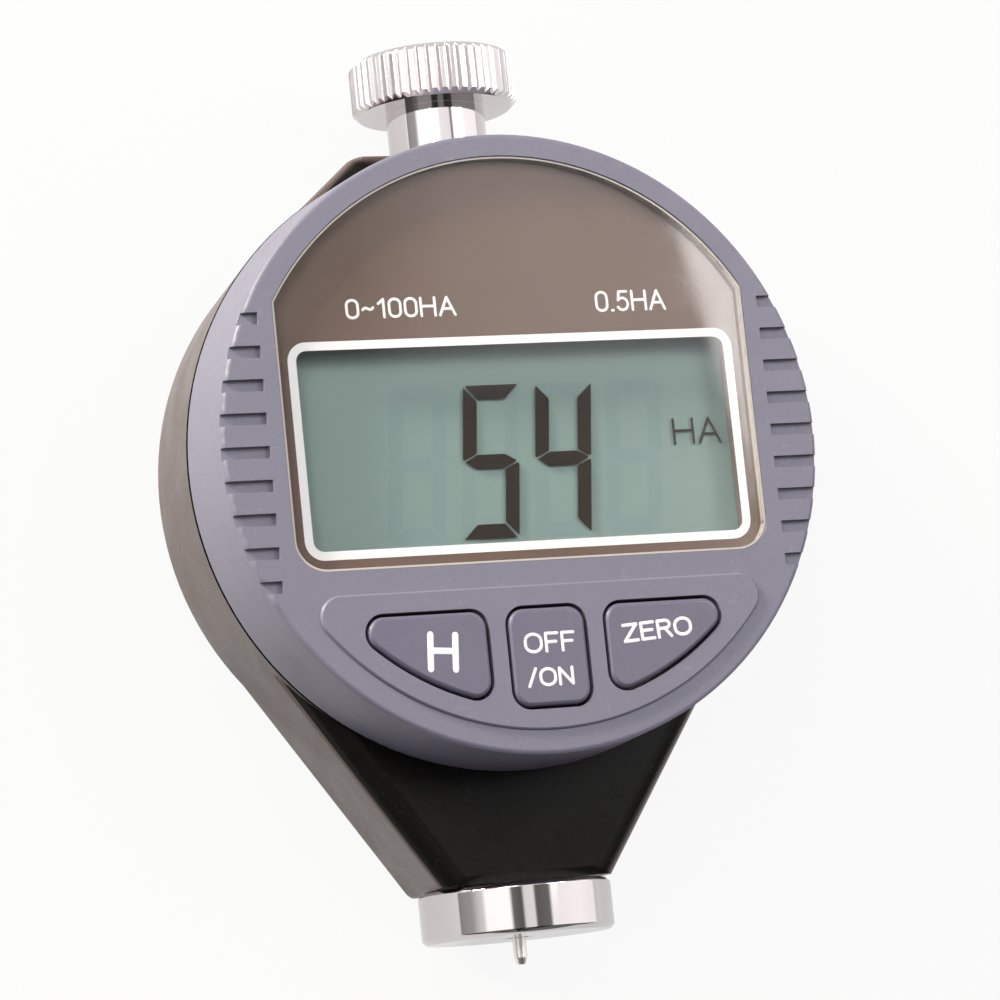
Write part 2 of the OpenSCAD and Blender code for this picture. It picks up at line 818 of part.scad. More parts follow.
module hand_knob() {
  r = knob_d / 2;
  spare = 0.3;
  c = knob_chamfer;
  color("#d4d4d6") at_dial() {
    on_axis(knob_y)
      intersection() {
        linear_extrude(knob_h) knurled_disc();
        rotate_extrude()
          polygon([[0, 0], [r - c, 0], [r + spare, c + spare], [r + spare, knob_h - c - spare],
            [r - c, knob_h], [0, knob_h]]);
      }
    on_axis(case_top) cylinder(h = stem_len, d = stem_d);
    on_axis(case_top - shank_len) cylinder(h = shank_len, r = thread_r);
  }
}

// Presser foot, indenter and spindle

module presser_foot() {
  r = foot_d / 2;
  c = foot_chamfer;
  top = neck_gap + foot_t;
  spigot = top + spigot_len;
  hole = foot_hole_d / 2;
  color("#d4d4d6") at_dial()
    on_axis(foot_y)
      rotate_extrude($fn = 96)
        polygon([[hole, 0], [r - c, 0], [r, c], [r, foot_t - c], [r - c, foot_t], [neck_d / 2, foot_t],
          [neck_d / 2, top], [thread_r, top], [thread_r, spigot], [bush_d / 2, spigot],
          [bush_d / 2, spigot - 2 * bush_len], [spindle_r + 0.4, spigot - 2 * bush_len],
          [spindle_r + 0.4, foot_face_t], [hole, foot_face_t]]);
}

module indenter() {
  r = indenter_d / 2;
  tip = tip_d / 2;
  cone = (r - tip) / tan(tip_angle / 2);
  color("#c9b98a") at_dial()
    on_axis(tip_y)
      rotate_extrude($fn = 48)
        polygon([[0, 0], [tip, 0], [r, cone], [r, spindle_low - tip_y + indenter_grip],
          [0, spindle_low - tip_y + indenter_grip]]);
}

module spindle() {
  c = 0.3;
  len = spindle_top - spindle_low;
  grip = indenter_d / 2;
  color("#a9abad") at_dial()
    on_axis(spindle_low)
      rotate_extrude()
        polygon([[grip, 0], [spindle_r - c, 0], [spindle_r, c], [spindle_r, len - c], [spindle_r - c, len],
          [0, len], [0, indenter_grip], [grip, indenter_grip]]);
}

module lower_bush() {
  color("#b08d4c") at_dial()
    on_axis(spigot_top - 2 * bush_len) turned(bush_d / 2, 0, 2 * bush_len, spindle_r + run_gap);
}

module upper_bush() {
  bore = spindle_r + run_gap;
  color("#b08d4c") at_dial()
    on_axis(guide_low)
      rotate_extrude()
        polygon([[bore, 0], [bush_d / 2, 0], [bush_d / 2, bush_len], [arm_bore_d / 2 - slip, bush_len],
          [arm_bore_d / 2 - slip, bush_len + bush_flange], [bore, bush_len + bush_flange]]);
}

module spring_seat() {
  color("#a9abad") at_dial()
    on_axis(seat_y) turned(arm_bore_d / 2 - free_gap, 0, seat_t, spindle_r);
}

// Coil swept along its helix, with closed end turns
module load_spring() {
  sides = 8;
  per_turn = 16;
  rings = round(spring_turns * per_turn);
  wire_r = wire_d / 2;
  coil_r = arm_bore_d / 2 - 0.5 - wire_r;
  climb = spring_len - 2 * wire_r;
  function ease(t) = (t - sin(720 * t) / (4 * PI) * 0.55);
  function ring_point(i, k) = let (t = i / rings, a = 360 * spring_turns * t, b = 360 * k / sides,
    r = coil_r + wire_r * cos(b)) [r * cos(a), r * sin(a), wire_r + climb * ease(t) + wire_r * sin(b)];
  points = [for (i = [0 : rings], k = [0 : sides - 1]) ring_point(i, k)];
  skin = [for (i = [0 : rings - 1], k = [0 : sides - 1]) let (n = (k + 1) % sides)
    [i * sides + k, (i + 1) * sides + k, (i + 1) * sides + n, i * sides + n]];
  first = [for (k = [0 : sides - 1]) k];
  last = [for (k = [sides - 1 : -1 : 0]) rings * sides + k];
  color("#8c8f94") at_dial()
    on_axis(spring_y) polyhedron(points, concat(skin, [first, last]), convexity = 10);
}

module spring_adjuster() {
  slot_w = 1;
  color("#b08d4c") at_dial()
    on_axis(adjuster_y)
      difference() {
        cylinder(h = adjuster_len, r = thread_r);
        translate([-arm_bore_d, -slot_w / 2, adjuster_len - 1]) cube([2 * arm_bore_d, slot_w, 2]);
      }
}

// Scale

module scale_carrier() {
  low = -carrier_low - carrier_len / 2;
  slot_low = guide_pin_y - guide_pin_r - travel - free_gap;
  slot_high = guide_pin_y + guide_pin_r + free_gap;
  fork_wall = 1;
  color("#c4c6c8") at_dial()
    difference() {
      union() {
        on_axis(low) cylinder(h = carrier_len, r = hub_r);
        translate([-2.5, low, axis_z]) cube([5, carrier_len, plate_z - axis_z + plate_t / 2]);
        translate([-plate_w / 2, -carrier_low - plate_len / 2, plate_z]) cube([plate_w, plate_len, plate_t]);
        translate([-3, slot_low - fork_wall, axis_z - hub_r - 1.7])
          cube([6, slot_high - slot_low + 2 * fork_wall, hub_r - spindle_r + 1]);
      }
      on_axis(low - over) cylinder(h = carrier_len + 2 * over, r = spindle_r);
      translate([-guide_pin_r - slip, slot_low, 0])
        cube([2 * (guide_pin_r + slip), slot_high - slot_low, axis_z - spindle_r]);
      translate([0, -carrier_low, axis_z]) rotate([0, 90, 0]) cylinder(h = 2 * hub_r, r = grub_r);
    }
}

module carrier_screw() {
  color("#3a3a3a") at_dial()
    translate([spindle_r, -carrier_low, axis_z]) rotate([0, 90, 0])
      difference() {
        cylinder(h = hub_wall - free_gap, r = grub_r);
        translate([0, 0, 1]) cylinder(h = 2, r = 0.45, $fn = 6);
      }
}

module scale_strip() {
  edge = 1;
  color("#b89a5a") at_dial()
    translate([-plate_w / 2 + edge, -carrier_low - plate_len / 2 + edge / 2, plate_z + plate_t])
      cube([plate_w - 2 * edge, plate_len - edge, strip_t]);
}

module guide_pin() {
  low = back_wall - pin_root;
  color("#a9abad") at_dial()
    translate([0, guide_pin_y, 0]) turned(guide_pin_r, low, axis_z - spindle_r - pin_root);
}

// Screws

// Pan head with a cross recess below a plain shank
module pan_screw(head_r, head_t, shank_r, shank_len) {
  cross_w = head_r * 0.36;
  difference() {
    union() {
      cylinder(h = head_t, r = head_r);
      cylinder(h = head_t + shank_len, r = shank_r);
    }
    for (a = [0, 90])
      rotate([0, 0, a]) cube([1.3 * head_r, cross_w, head_t], center = true);
  }
}

module case_screws() {
  color("#8f9194") at_dial()
    for (p = screw_places)
      translate([p[0], p[1], screw_seat_z - case_head_t])
        pan_screw(screw_head_d / 2, case_head_t, screw_d / 2, under_z - screw_grip - screw_seat_z);
}

module board_screws() {
  color("#8f9194") at_dial()
    for (p = board_places)
      translate([p[0], p[1], board_z - board_head_t])
        pan_screw(2 * board_screw_r, board_head_t, board_screw_r, board_t + board_grip);
}

main_casting();
front_bezel();
window_lens();
window_mask();
lcd_glass();
lcd_reflector();
lcd_holder();
zebra_strips();
circuit_board();
processor_chip();
quartz_can();
hold_key();
power_key();
zero_key();
switch_bodies();
hold_plunger();
power_plunger();
zero_plunger();
battery_cell();
battery_cap();
cap_seal();
cell_contact_negative();
cell_contact_positive();
hand_knob();
presser_foot();
indenter();
spindle();
lower_bush();
upper_bush();
spring_seat();
load_spring();
spring_adjuster();
scale_carrier();
carrier_screw();
scale_strip();
guide_pin();
case_screws();
board_screws();
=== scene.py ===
# %% [markdown]
# # A digital hardness gauge, dressed in Blender
#
# The gauge is a round instrument that is pressed by hand onto rubber. It has a black cast body, a grey
# plastic bezel with a display and three keys, a polished knob on top and a polished presser foot below,
# from which a thin indenter stands out. It lies on its back, so the display looks up along +Z and the
# knob lies along +Y.
#
# The solids come from the CAD model and stay where they are. Here they get softer edges, print, lettering
# and finishes. Lengths are written in millimetres and turned into metres where Blender needs them.

# %% Load the solids
import json
import math
import bpy
import bmesh
from mathutils import Matrix, Vector


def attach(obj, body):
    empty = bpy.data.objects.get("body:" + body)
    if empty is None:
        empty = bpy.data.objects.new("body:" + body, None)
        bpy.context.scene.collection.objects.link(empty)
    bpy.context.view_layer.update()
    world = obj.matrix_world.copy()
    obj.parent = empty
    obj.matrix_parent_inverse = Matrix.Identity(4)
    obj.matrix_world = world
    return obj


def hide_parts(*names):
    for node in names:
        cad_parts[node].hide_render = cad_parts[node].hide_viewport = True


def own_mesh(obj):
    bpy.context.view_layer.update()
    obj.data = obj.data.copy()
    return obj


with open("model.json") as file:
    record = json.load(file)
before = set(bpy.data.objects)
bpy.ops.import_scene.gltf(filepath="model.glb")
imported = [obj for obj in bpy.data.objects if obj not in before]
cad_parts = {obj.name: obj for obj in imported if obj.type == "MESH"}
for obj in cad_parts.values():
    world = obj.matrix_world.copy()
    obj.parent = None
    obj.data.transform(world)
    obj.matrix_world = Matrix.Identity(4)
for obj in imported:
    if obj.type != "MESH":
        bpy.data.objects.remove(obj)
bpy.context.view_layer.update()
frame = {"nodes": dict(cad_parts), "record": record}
MM = 0.001
DIAL_Y = 3.44       # the dial axis, along Y
bpy.context.scene.view_settings.view_transform = "Standard"

# %% [markdown]
# ## Camera
#
# A photograph of a product is taken with a long lens, so that its circles stay round. The place, the aim
# and the small tilt were solved from the round bezel and the window, and they are written here as
# numbers. The camera's three axes are built by hand: one runs back from the subject, one to the right,
# one up.

# %% Place the camera
def look(eye, aim, tilt):
    """The rotation of a camera at eye that looks at aim, turned by tilt degrees about its own axis."""
    back = (Vector(eye) - Vector(aim)).normalized()
    level = Vector((0, 1, 0)).cross(back).normalized()
    right = Matrix.Rotation(math.radians(tilt), 3, back) @ level
    return Matrix((right, back.cross(right), back)).transposed().to_euler()


bpy.ops.object.select_all(action="DESELECT")
EYE = Vector((-130.47, -56.20, 375.69)) * MM
AIM = Vector((-3.11, -1.96, 26.5)) * MM
bpy.ops.object.camera_add(location=EYE, rotation=look(EYE, AIM, -5.88))
camera = bpy.context.object
camera.data.lens = 149.42
camera.data.sensor_width = 36
camera.data.clip_start = 0.01
bpy.context.scene.camera = camera
print("camera stands", round((EYE - AIM).length, 3), "m away")

# %% [markdown]
# ## Floor and light
#
# Polished metal shows whatever stands round it, so a plain white room would make the knob look like
# chalk. The room here is a sky of soft bands, bright and dark by turns, as a product table has between
# its white panels. High on the right hangs one much brighter panel: the flat window mirrors its edge as a
# slanting gleam. A large lamp on the left lights the face, a small low one behind it lights the side
# wall, and a weaker one on the right fills in.

# %% Lay the floor
FLOOR_SIDE = 6000
FLOOR_DROP = 0.2        # from the back of the gauge to the floor
FLOOR_TONE = 0.56       # grey of the paint
GLOW_SHARE = 0.91       # how much of the floor glows white to the eye
MIRROR_SHARE = 0.66     # how much of that glow a mirror sees


def nodes_of(holder):
    holder.use_nodes = True
    holder.node_tree.nodes.clear()
    return holder.node_tree


def add(tree, kind, place, **values):
    """A node at a place in the editor, with its sockets or settings filled in by name."""
    node = tree.nodes.new(kind)
    node.location = place
    for name, value in values.items():
        label = name.replace("_", " ")
        if label in node.inputs:
            node.inputs[label].default_value = value
        else:
            setattr(node, name, value)
    return node


def seen_directly(tree, place):
    """1 for rays from the camera or glass, less for a mirror, and 0 for rays that only carry light."""
    path = add(tree, "ShaderNodeLightPath", place)
    mirrored = add(tree, "ShaderNodeMath", (place[0] + 90, place[1] - 200), operation="MULTIPLY")
    mirrored.inputs[1].default_value = MIRROR_SHARE
    first = add(tree, "ShaderNodeMath", (place[0] + 180, place[1]), operation="MAXIMUM")
    second = add(tree, "ShaderNodeMath", (place[0] + 360, place[1]), operation="MAXIMUM")
    tree.links.new(path.outputs["Is Camera Ray"], first.inputs[0])
    tree.links.new(path.outputs["Is Glossy Ray"], mirrored.inputs[0])
    tree.links.new(mirrored.outputs[0], first.inputs[1])
    tree.links.new(first.outputs[0], second.inputs[0])
    tree.links.new(path.outputs["Is Transmission Ray"], second.inputs[1])
    return second.outputs[0]


bpy.ops.mesh.primitive_plane_add(size=FLOOR_SIDE * MM, location=(0, 0, -FLOOR_DROP * MM))
floor = bpy.context.object
floor.name = "pale_floor"
floor.data.materials.append(bpy.data.materials.new("pale_table"))
tree = nodes_of(floor.data.materials[0])
paint = add(tree, "ShaderNodeBsdfDiffuse", (0, 0), Color=(FLOOR_TONE, FLOOR_TONE, FLOOR_TONE, 1))
glow = add(tree, "ShaderNodeEmission", (0, -150), Color=(1, 1, 1, 1), Strength=1.0)
shown = add(tree, "ShaderNodeMath", (0, -300), operation="MULTIPLY")
shown.inputs[1].default_value = GLOW_SHARE
blend = add(tree, "ShaderNodeMixShader", (200, 0))
out = add(tree, "ShaderNodeOutputMaterial", (400, 0))
tree.links.new(seen_directly(tree, (-700, -300)), shown.inputs[0])
tree.links.new(shown.outputs[0], blend.inputs[0])
tree.links.new(paint.outputs[0], blend.inputs[1])
tree.links.new(glow.outputs[0], blend.inputs[2])
tree.links.new(blend.outputs[0], out.inputs[0])
print("floor:", floor.name)

# %% Hang the sky of soft bands
# Each stop is the angle from straight up towards +X, in degrees, and the brightness there. The low ring
# of the sky is what the foot mirrors. The high ring, towards +Y, is what the stem and the knob mirror.
# The top ring above them has a bright wall on each side. A ring takes over from the one below it between
# two heights, and the sky fades out beyond the foot and beyond the knob. A height is the Y part of the
# direction, -1 to 1.
LOW = [(-180, 0.80), (-103, 0.82), (-94, 0.34), (-76, 0.44), (-60, 0.9), (-54, 1.6), (-27, 1.6), (-22, 0.2),
       (-12, 0.14), (-8, 1.05), (2, 1.1), (5, 0.16), (21, 0.2), (25, 1.3), (60, 1.4), (86, 1.3), (92, 0.8),
       (180, 0.8)]
HIGH = [(-180, 0.66), (-128, 0.62), (-124, 0.2), (-112, 0.25), (-70, 0.5), (-60, 1.75), (-14, 1.75),
        (-9, 1.3), (13, 1.25), (15.5, 0.25), (18, 0.3), (20.5, 1.25), (30, 1.5), (86, 1.45), (92, 0.8),
        (180, 0.8)]
TOP = [(-180, 0.8), (-125, 0.9), (-105, 1.9), (-60, 1.8), (-30, 1.1), (40, 1.1), (60, 1.7), (90, 1.7),
       (98, 0.8), (180, 0.8)]
HIGH_RISE = (0.165, 0.185)
TOP_RISE = (0.36, 0.44)
FRONT_FADE = (-0.35, 0.06)
REAR_FADE = (0.7, 0.45)
FADED = 0.12
WARM_WHITE = (1.0, 0.975, 0.97)
world = bpy.data.worlds.new("studio_sky")
bpy.context.scene.world = world
tree = nodes_of(world)
spot = add(tree, "ShaderNodeTexCoord", (-1400, 0))
axes = add(tree, "ShaderNodeSeparateXYZ", (-1200, 0))
angle = add(tree, "ShaderNodeMath", (-1000, 0), operation="ARCTAN2")
share = add(tree, "ShaderNodeMath", (-800, 0), operation="MULTIPLY_ADD")
share.inputs[1].default_value = 1 / (2 * math.pi)
share.inputs[2].default_value = 0.5
tree.links.new(spot.outputs["Generated"], axes.inputs[0])
tree.links.new(axes.outputs["X"], angle.inputs[0])
tree.links.new(axes.outputs["Z"], angle.inputs[1])
tree.links.new(angle.outputs[0], share.inputs[0])


def ring_of_bands(stops, place):
    """A ramp over the angle round the Y axis, slightly warm, as the white of the panels is."""
    ramp = add(tree, "ShaderNodeValToRGB", place)
    ramp.color_ramp.interpolation = "EASE"
    marks = ramp.color_ramp.elements
    for number, (degrees, level) in enumerate(stops):
        mark = marks[number] if number < 2 else marks.new(0.999)
        mark.position = degrees / 360 + 0.5
        mark.color = (*(level * part for part in WARM_WHITE), 1)
    tree.links.new(share.outputs[0], ramp.inputs[0])
    return ramp.outputs[0]


bands = ring_of_bands(LOW, (-900, 0))
for row, (stops, (start, full)) in enumerate(((HIGH, HIGH_RISE), (TOP, TOP_RISE))):
    rise = add(tree, "ShaderNodeMapRange", (-600, 300 - 500 * row), interpolation_type="SMOOTHSTEP")
    rise.inputs["From Min"].default_value, rise.inputs["From Max"].default_value = start, full
    layer = add(tree, "ShaderNodeMix", (-300, 100 - 500 * row), data_type="RGBA")
    tree.links.new(axes.outputs["Y"], rise.inputs["Value"])
    tree.links.new(rise.outputs[0], layer.inputs[0])
    tree.links.new(bands, layer.inputs[6])
    tree.links.new(ring_of_bands(stops, (-600, -500 * row)), layer.inputs[7])
    bands = layer.outputs[2]
front_fade = add(tree, "ShaderNodeMapRange", (-600, 600), interpolation_type="SMOOTHSTEP")
rear_fade = add(tree, "ShaderNodeMapRange", (-600, 850), interpolation_type="SMOOTHSTEP")
for fade, (far, near) in ((front_fade, FRONT_FADE), (rear_fade, REAR_FADE)):
    fade.inputs["From Min"].default_value, fade.inputs["From Max"].default_value = far, near
    fade.inputs["To Min"].default_value, fade.inputs["To Max"].default_value = FADED, 1.0
    tree.links.new(axes.outputs["Y"], fade.inputs["Value"])
dim = add(tree, "ShaderNodeMath", (-300, 700), operation="MULTIPLY")
dimmed = add(tree, "ShaderNodeVectorMath", (-100, 300), operation="SCALE")
tree.links.new(front_fade.outputs[0], dim.inputs[0])
tree.links.new(rear_fade.outputs[0], dim.inputs[1])
tree.links.new(bands, dimmed.inputs[0])
tree.links.new(dim.outputs[0], dimmed.inputs["Scale"])
print("sky stops:", len(LOW), "low,", len(HIGH), "high and", len(TOP), "top")

# %% Add the bright panel to the sky
# Each side of the panel is a plane through the middle of the room, given by the way it faces, and two
# distances between which the light fades in.
SIDES = [((0.8869, 0.1976, -0.4174), -0.001, 0.0045), ((-0.8290, 0.0, 0.5592), 0.0, 0.06),
         ((0.0, 1.0, 0.0), 0.05, 0.11), ((0.0, -1.0, 0.0), -0.46, -0.32)]
PANEL_WHITE = (7.2, 7.0, 7.0)
panel = None
for row, (facing, dark, bright) in enumerate(SIDES):
    side = add(tree, "ShaderNodeVectorMath", (-1000, -600 - 200 * row), operation="DOT_PRODUCT")
    side.inputs[1].default_value = facing
    fade = add(tree, "ShaderNodeMapRange", (-800, -600 - 200 * row), interpolation_type="SMOOTHSTEP")
    fade.inputs["From Min"].default_value, fade.inputs["From Max"].default_value = dark, bright
    tree.links.new(spot.outputs["Generated"], side.inputs[0])
    tree.links.new(side.outputs["Value"], fade.inputs["Value"])
    if panel is None:
        panel = fade.outputs[0]
    else:
        both = add(tree, "ShaderNodeMath", (-600, -600 - 200 * row), operation="MULTIPLY")
        tree.links.new(panel, both.inputs[0])
        tree.links.new(fade.outputs[0], both.inputs[1])
        panel = both.outputs[0]
gleam = add(tree, "ShaderNodeMix", (-150, -200), data_type="RGBA")
gleam.inputs[7].default_value = (*PANEL_WHITE, 1)
path = add(tree, "ShaderNodeLightPath", (-150, 300))
white = add(tree, "ShaderNodeMix", (50, 0), data_type="RGBA")
white.inputs[7].default_value = (1, 1, 1, 1)
sky = add(tree, "ShaderNodeBackground", (250, 0), Strength=1.0)
out = add(tree, "ShaderNodeOutputWorld", (450, 0))
tree.links.new(panel, gleam.inputs[0])
tree.links.new(dimmed.outputs[0], gleam.inputs[6])
tree.links.new(path.outputs["Is Camera Ray"], white.inputs[0])
tree.links.new(gleam.outputs[2], white.inputs[6])
tree.links.new(white.outputs[2], sky.inputs["Color"])
tree.links.new(sky.outputs[0], out.inputs[0])
print("sides of the bright panel:", len(SIDES))

# %% Set the three lamps
def soft_panel(name, place, aim, size, watts, colour):
    """A lamp with a rectangular face, placed and sized in metres, that looks at aim."""
    turn = (Vector(aim) - Vector(place)).to_track_quat("-Z", "Y").to_euler()
    bpy.ops.object.light_add(type="AREA", location=place, rotation=turn)
    lamp = bpy.context.object
    lamp.name = name
    lamp.data.shape = "RECTANGLE"
    lamp.data.size, lamp.data.size_y = size
    lamp.data.energy = watts
    lamp.data.color = colour


soft_panel("left_panel", (-0.30, 0.34, 0.58), (0, 0, 0.015), (0.3, 0.2), 1.66, (1, 0.975, 0.955))
soft_panel("low_panel", (-0.45, 0.42, 0.15), (0, 0, 0.015), (0.14, 0.10), 7.2, (1, 0.93, 0.79))
soft_panel("right_panel", (0.36, 0.21, 0.43), (0, 0, 0.02), (0.12, 0.12), 0.5, (1, 0.99, 0.98))
print("lamps: 3")

# %% [markdown]
# ## Small helpers for the bench
#
# The operators act on what is selected, so each step first clears the selection and then picks the faces,
# edges or corners it means, by their place or by the way they face.

# %% Selecting and copying
SEAM = 0.002        # corners of a CAD mesh that lie closer are one corner


def clear_bench():
    if bpy.context.object and bpy.context.object.mode != "OBJECT":
        bpy.ops.object.mode_set(mode="OBJECT")
    bpy.ops.object.select_all(action="DESELECT")


def take(piece, editing=False):
    clear_bench()
    piece.select_set(True)
    bpy.context.view_layer.objects.active = piece
    if editing:
        bpy.ops.object.mode_set(mode="EDIT")


def pick(piece, kind, test):
    """In edit mode, selects the faces, edges or verts that pass the test and returns how many there are."""
    bpy.ops.mesh.select_mode(type={"faces": "FACE", "edges": "EDGE", "verts": "VERT"}[kind])
    bpy.ops.mesh.select_all(action="DESELECT")
    mesh = bmesh.from_edit_mesh(piece.data)
    mesh.normal_update()
    chosen = [part for part in getattr(mesh, kind) if test(part)]
    for part in chosen:
        part.select_set(True)
    mesh.select_flush_mode()
    bmesh.update_edit_mesh(piece.data)
    return len(chosen)


def weld(reach):
    """In edit mode, merges all the corners that lie within reach millimetres of each other."""
    bpy.ops.mesh.select_all(action="SELECT")
    bpy.ops.mesh.remove_doubles(threshold=reach * MM)


def copy_of(node, name, flat):
    """A copy of a CAD solid in edit mode, as one skin, joined where its faces bend less than flat."""
    piece = bpy.data.objects.new(name, frame["nodes"][node].data.copy())
    bpy.context.scene.collection.objects.link(piece)
    take(piece, editing=True)
    weld(SEAM)
    bpy.ops.mesh.dissolve_limited(angle_limit=math.radians(flat))
    return piece


def finish(piece, name, body, material, stands_for=()):
    """Names a piece, gives it its finish and lets it ride on a body of the CAD model."""
    clear_bench()
    piece.name = name
    piece.data.name = name
    if material:
        piece.data.materials.clear()
        piece.data.materials.append(material)
    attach(piece, body)
    if stands_for:
        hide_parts(*stands_for)
    print(name, "on", body, "faces:", len(piece.data.polygons))
    return piece


print("bench is ready")

# %% [markdown]
# ## Finishes
#
# No real surface is one flat colour. Three effects are shared: a fine grain from the mould or the spray
# gun, a smudge that hands leave, and the turning lines of a lathe. Each is a node group that gives out a
# height or a mask, and each finish mixes them in with its own values.

# %% Shared effects
def effect(name, inputs, outputs):
    group = bpy.data.node_groups.new(name, "ShaderNodeTree")
    for label, value in inputs:
        socket = group.interface.new_socket(label, in_out="INPUT", socket_type="NodeSocketFloat")
        socket.default_value = value
    for label in outputs:
        group.interface.new_socket(label, in_out="OUTPUT", socket_type="NodeSocketFloat")
    source = add(group, "NodeGroupInput", (-900, 0))
    sink = add(group, "NodeGroupOutput", (600, 0))
    spot = add(group, "ShaderNodeTexCoord", (-900, -250))
    return group, source, sink, spot.outputs["Object"]


grain, source, sink, spot = effect("fine_grain", [("Grains per m", 3000.0), ("Clouds per m", 60.0)],
                                   ["Height", "Cloud"])
fine = add(grain, "ShaderNodeTexNoise", (-500, 100), Detail=3.0, Roughness=0.6)
pits = add(grain, "ShaderNodeTexVoronoi", (-500, -150))
cloud = add(grain, "ShaderNodeTexNoise", (-500, -450), Detail=4.0, Roughness=0.55)
both = add(grain, "ShaderNodeMath", (-200, 0), operation="MULTIPLY_ADD")
both.inputs[1].default_value = 0.6
for node in (fine, pits, cloud):
    grain.links.new(spot, node.inputs["Vector"])
grain.links.new(source.outputs["Grains per m"], fine.inputs["Scale"])
grain.links.new(source.outputs["Grains per m"], pits.inputs["Scale"])
grain.links.new(source.outputs["Clouds per m"], cloud.inputs["Scale"])
grain.links.new(pits.outputs["Distance"], both.inputs[0])
grain.links.new(fine.outputs[0], both.inputs[2])
grain.links.new(both.outputs[0], sink.inputs["Height"])
grain.links.new(cloud.outputs[0], sink.inputs["Cloud"])

smudge, source, sink, spot = effect("hand_smudge", [("Marks per m", 90.0), ("Scuffs per m", 700.0)],
                                    ["Smudge", "Scuff"])
film = add(smudge, "ShaderNodeTexNoise", (-500, 100), Detail=6.0, Roughness=0.7, Distortion=1.2)
rub = add(smudge, "ShaderNodeTexNoise", (-500, -200), Detail=2.0, Roughness=0.5, Distortion=3.0)
film_edge = add(smudge, "ShaderNodeMapRange", (-200, 100))
rub_edge = add(smudge, "ShaderNodeMapRange", (-200, -200))
for node, low, high in ((film_edge, 0.42, 0.66), (rub_edge, 0.62, 0.72)):
    node.inputs["From Min"].default_value = low
    node.inputs["From Max"].default_value = high
for node in (film, rub):
    smudge.links.new(spot, node.inputs["Vector"])
smudge.links.new(source.outputs["Marks per m"], film.inputs["Scale"])
smudge.links.new(source.outputs["Scuffs per m"], rub.inputs["Scale"])
smudge.links.new(film.outputs[0], film_edge.inputs["Value"])
smudge.links.new(rub.outputs[0], rub_edge.inputs["Value"])
smudge.links.new(film_edge.outputs[0], sink.inputs["Smudge"])
smudge.links.new(rub_edge.outputs[0], sink.inputs["Scuff"])

turning, source, sink, spot = effect("turning_lines", [("Lines per m", 9000.0), ("Marks per m", 250.0)],
                                     ["Height", "Haze"])
stretch = add(turning, "ShaderNodeMapping", (-700, 100))
stretch.inputs["Scale"].default_value = (0.02, 1.0, 0.02)
lines = add(turning, "ShaderNodeTexNoise", (-450, 100), Detail=2.0, Roughness=0.5)
haze = add(turning, "ShaderNodeTexNoise", (-450, -200), Detail=5.0, Roughness=0.65)
turning.links.new(spot, stretch.inputs["Vector"])
turning.links.new(stretch.outputs[0], lines.inputs["Vector"])
turning.links.new(spot, haze.inputs["Vector"])
turning.links.new(source.outputs["Lines per m"], lines.inputs["Scale"])
turning.links.new(source.outputs["Marks per m"], haze.inputs["Scale"])
turning.links.new(lines.outputs[0], sink.inputs["Height"])
turning.links.new(haze.outputs[0], sink.inputs["Haze"])
print("effects:", [g.name for g in (grain, smudge, turning)])

# %% [markdown]
# A finish is a Principled shader fed by these effects. The two colours are the surface where it is clean
# and where the cloud of the grain lies on it, and the roughness runs between two values where hands have
# smudged it. The grain also lifts the surface a little through a Bump node. A stove enamel may have one
# more colour, a painted sheen mixed in by a Layer Weight node, which lightens it where it is seen at a slant.

# %% A recipe for a finish
SCUFF_SHARE = 0.35          # strength of a scuff's colour
PAINTED_SHEEN_SLANT = (0.30, 0.74)   # the painted sheen sets in and is full, from 0 face on to 1 edge on


def placed(tree, group, place, **values):
    node = tree.nodes.new("ShaderNodeGroup")
    node.node_tree = group
    node.location = place
    for name, value in values.items():
        node.inputs[name.replace("_", " ")].default_value = value
    return node


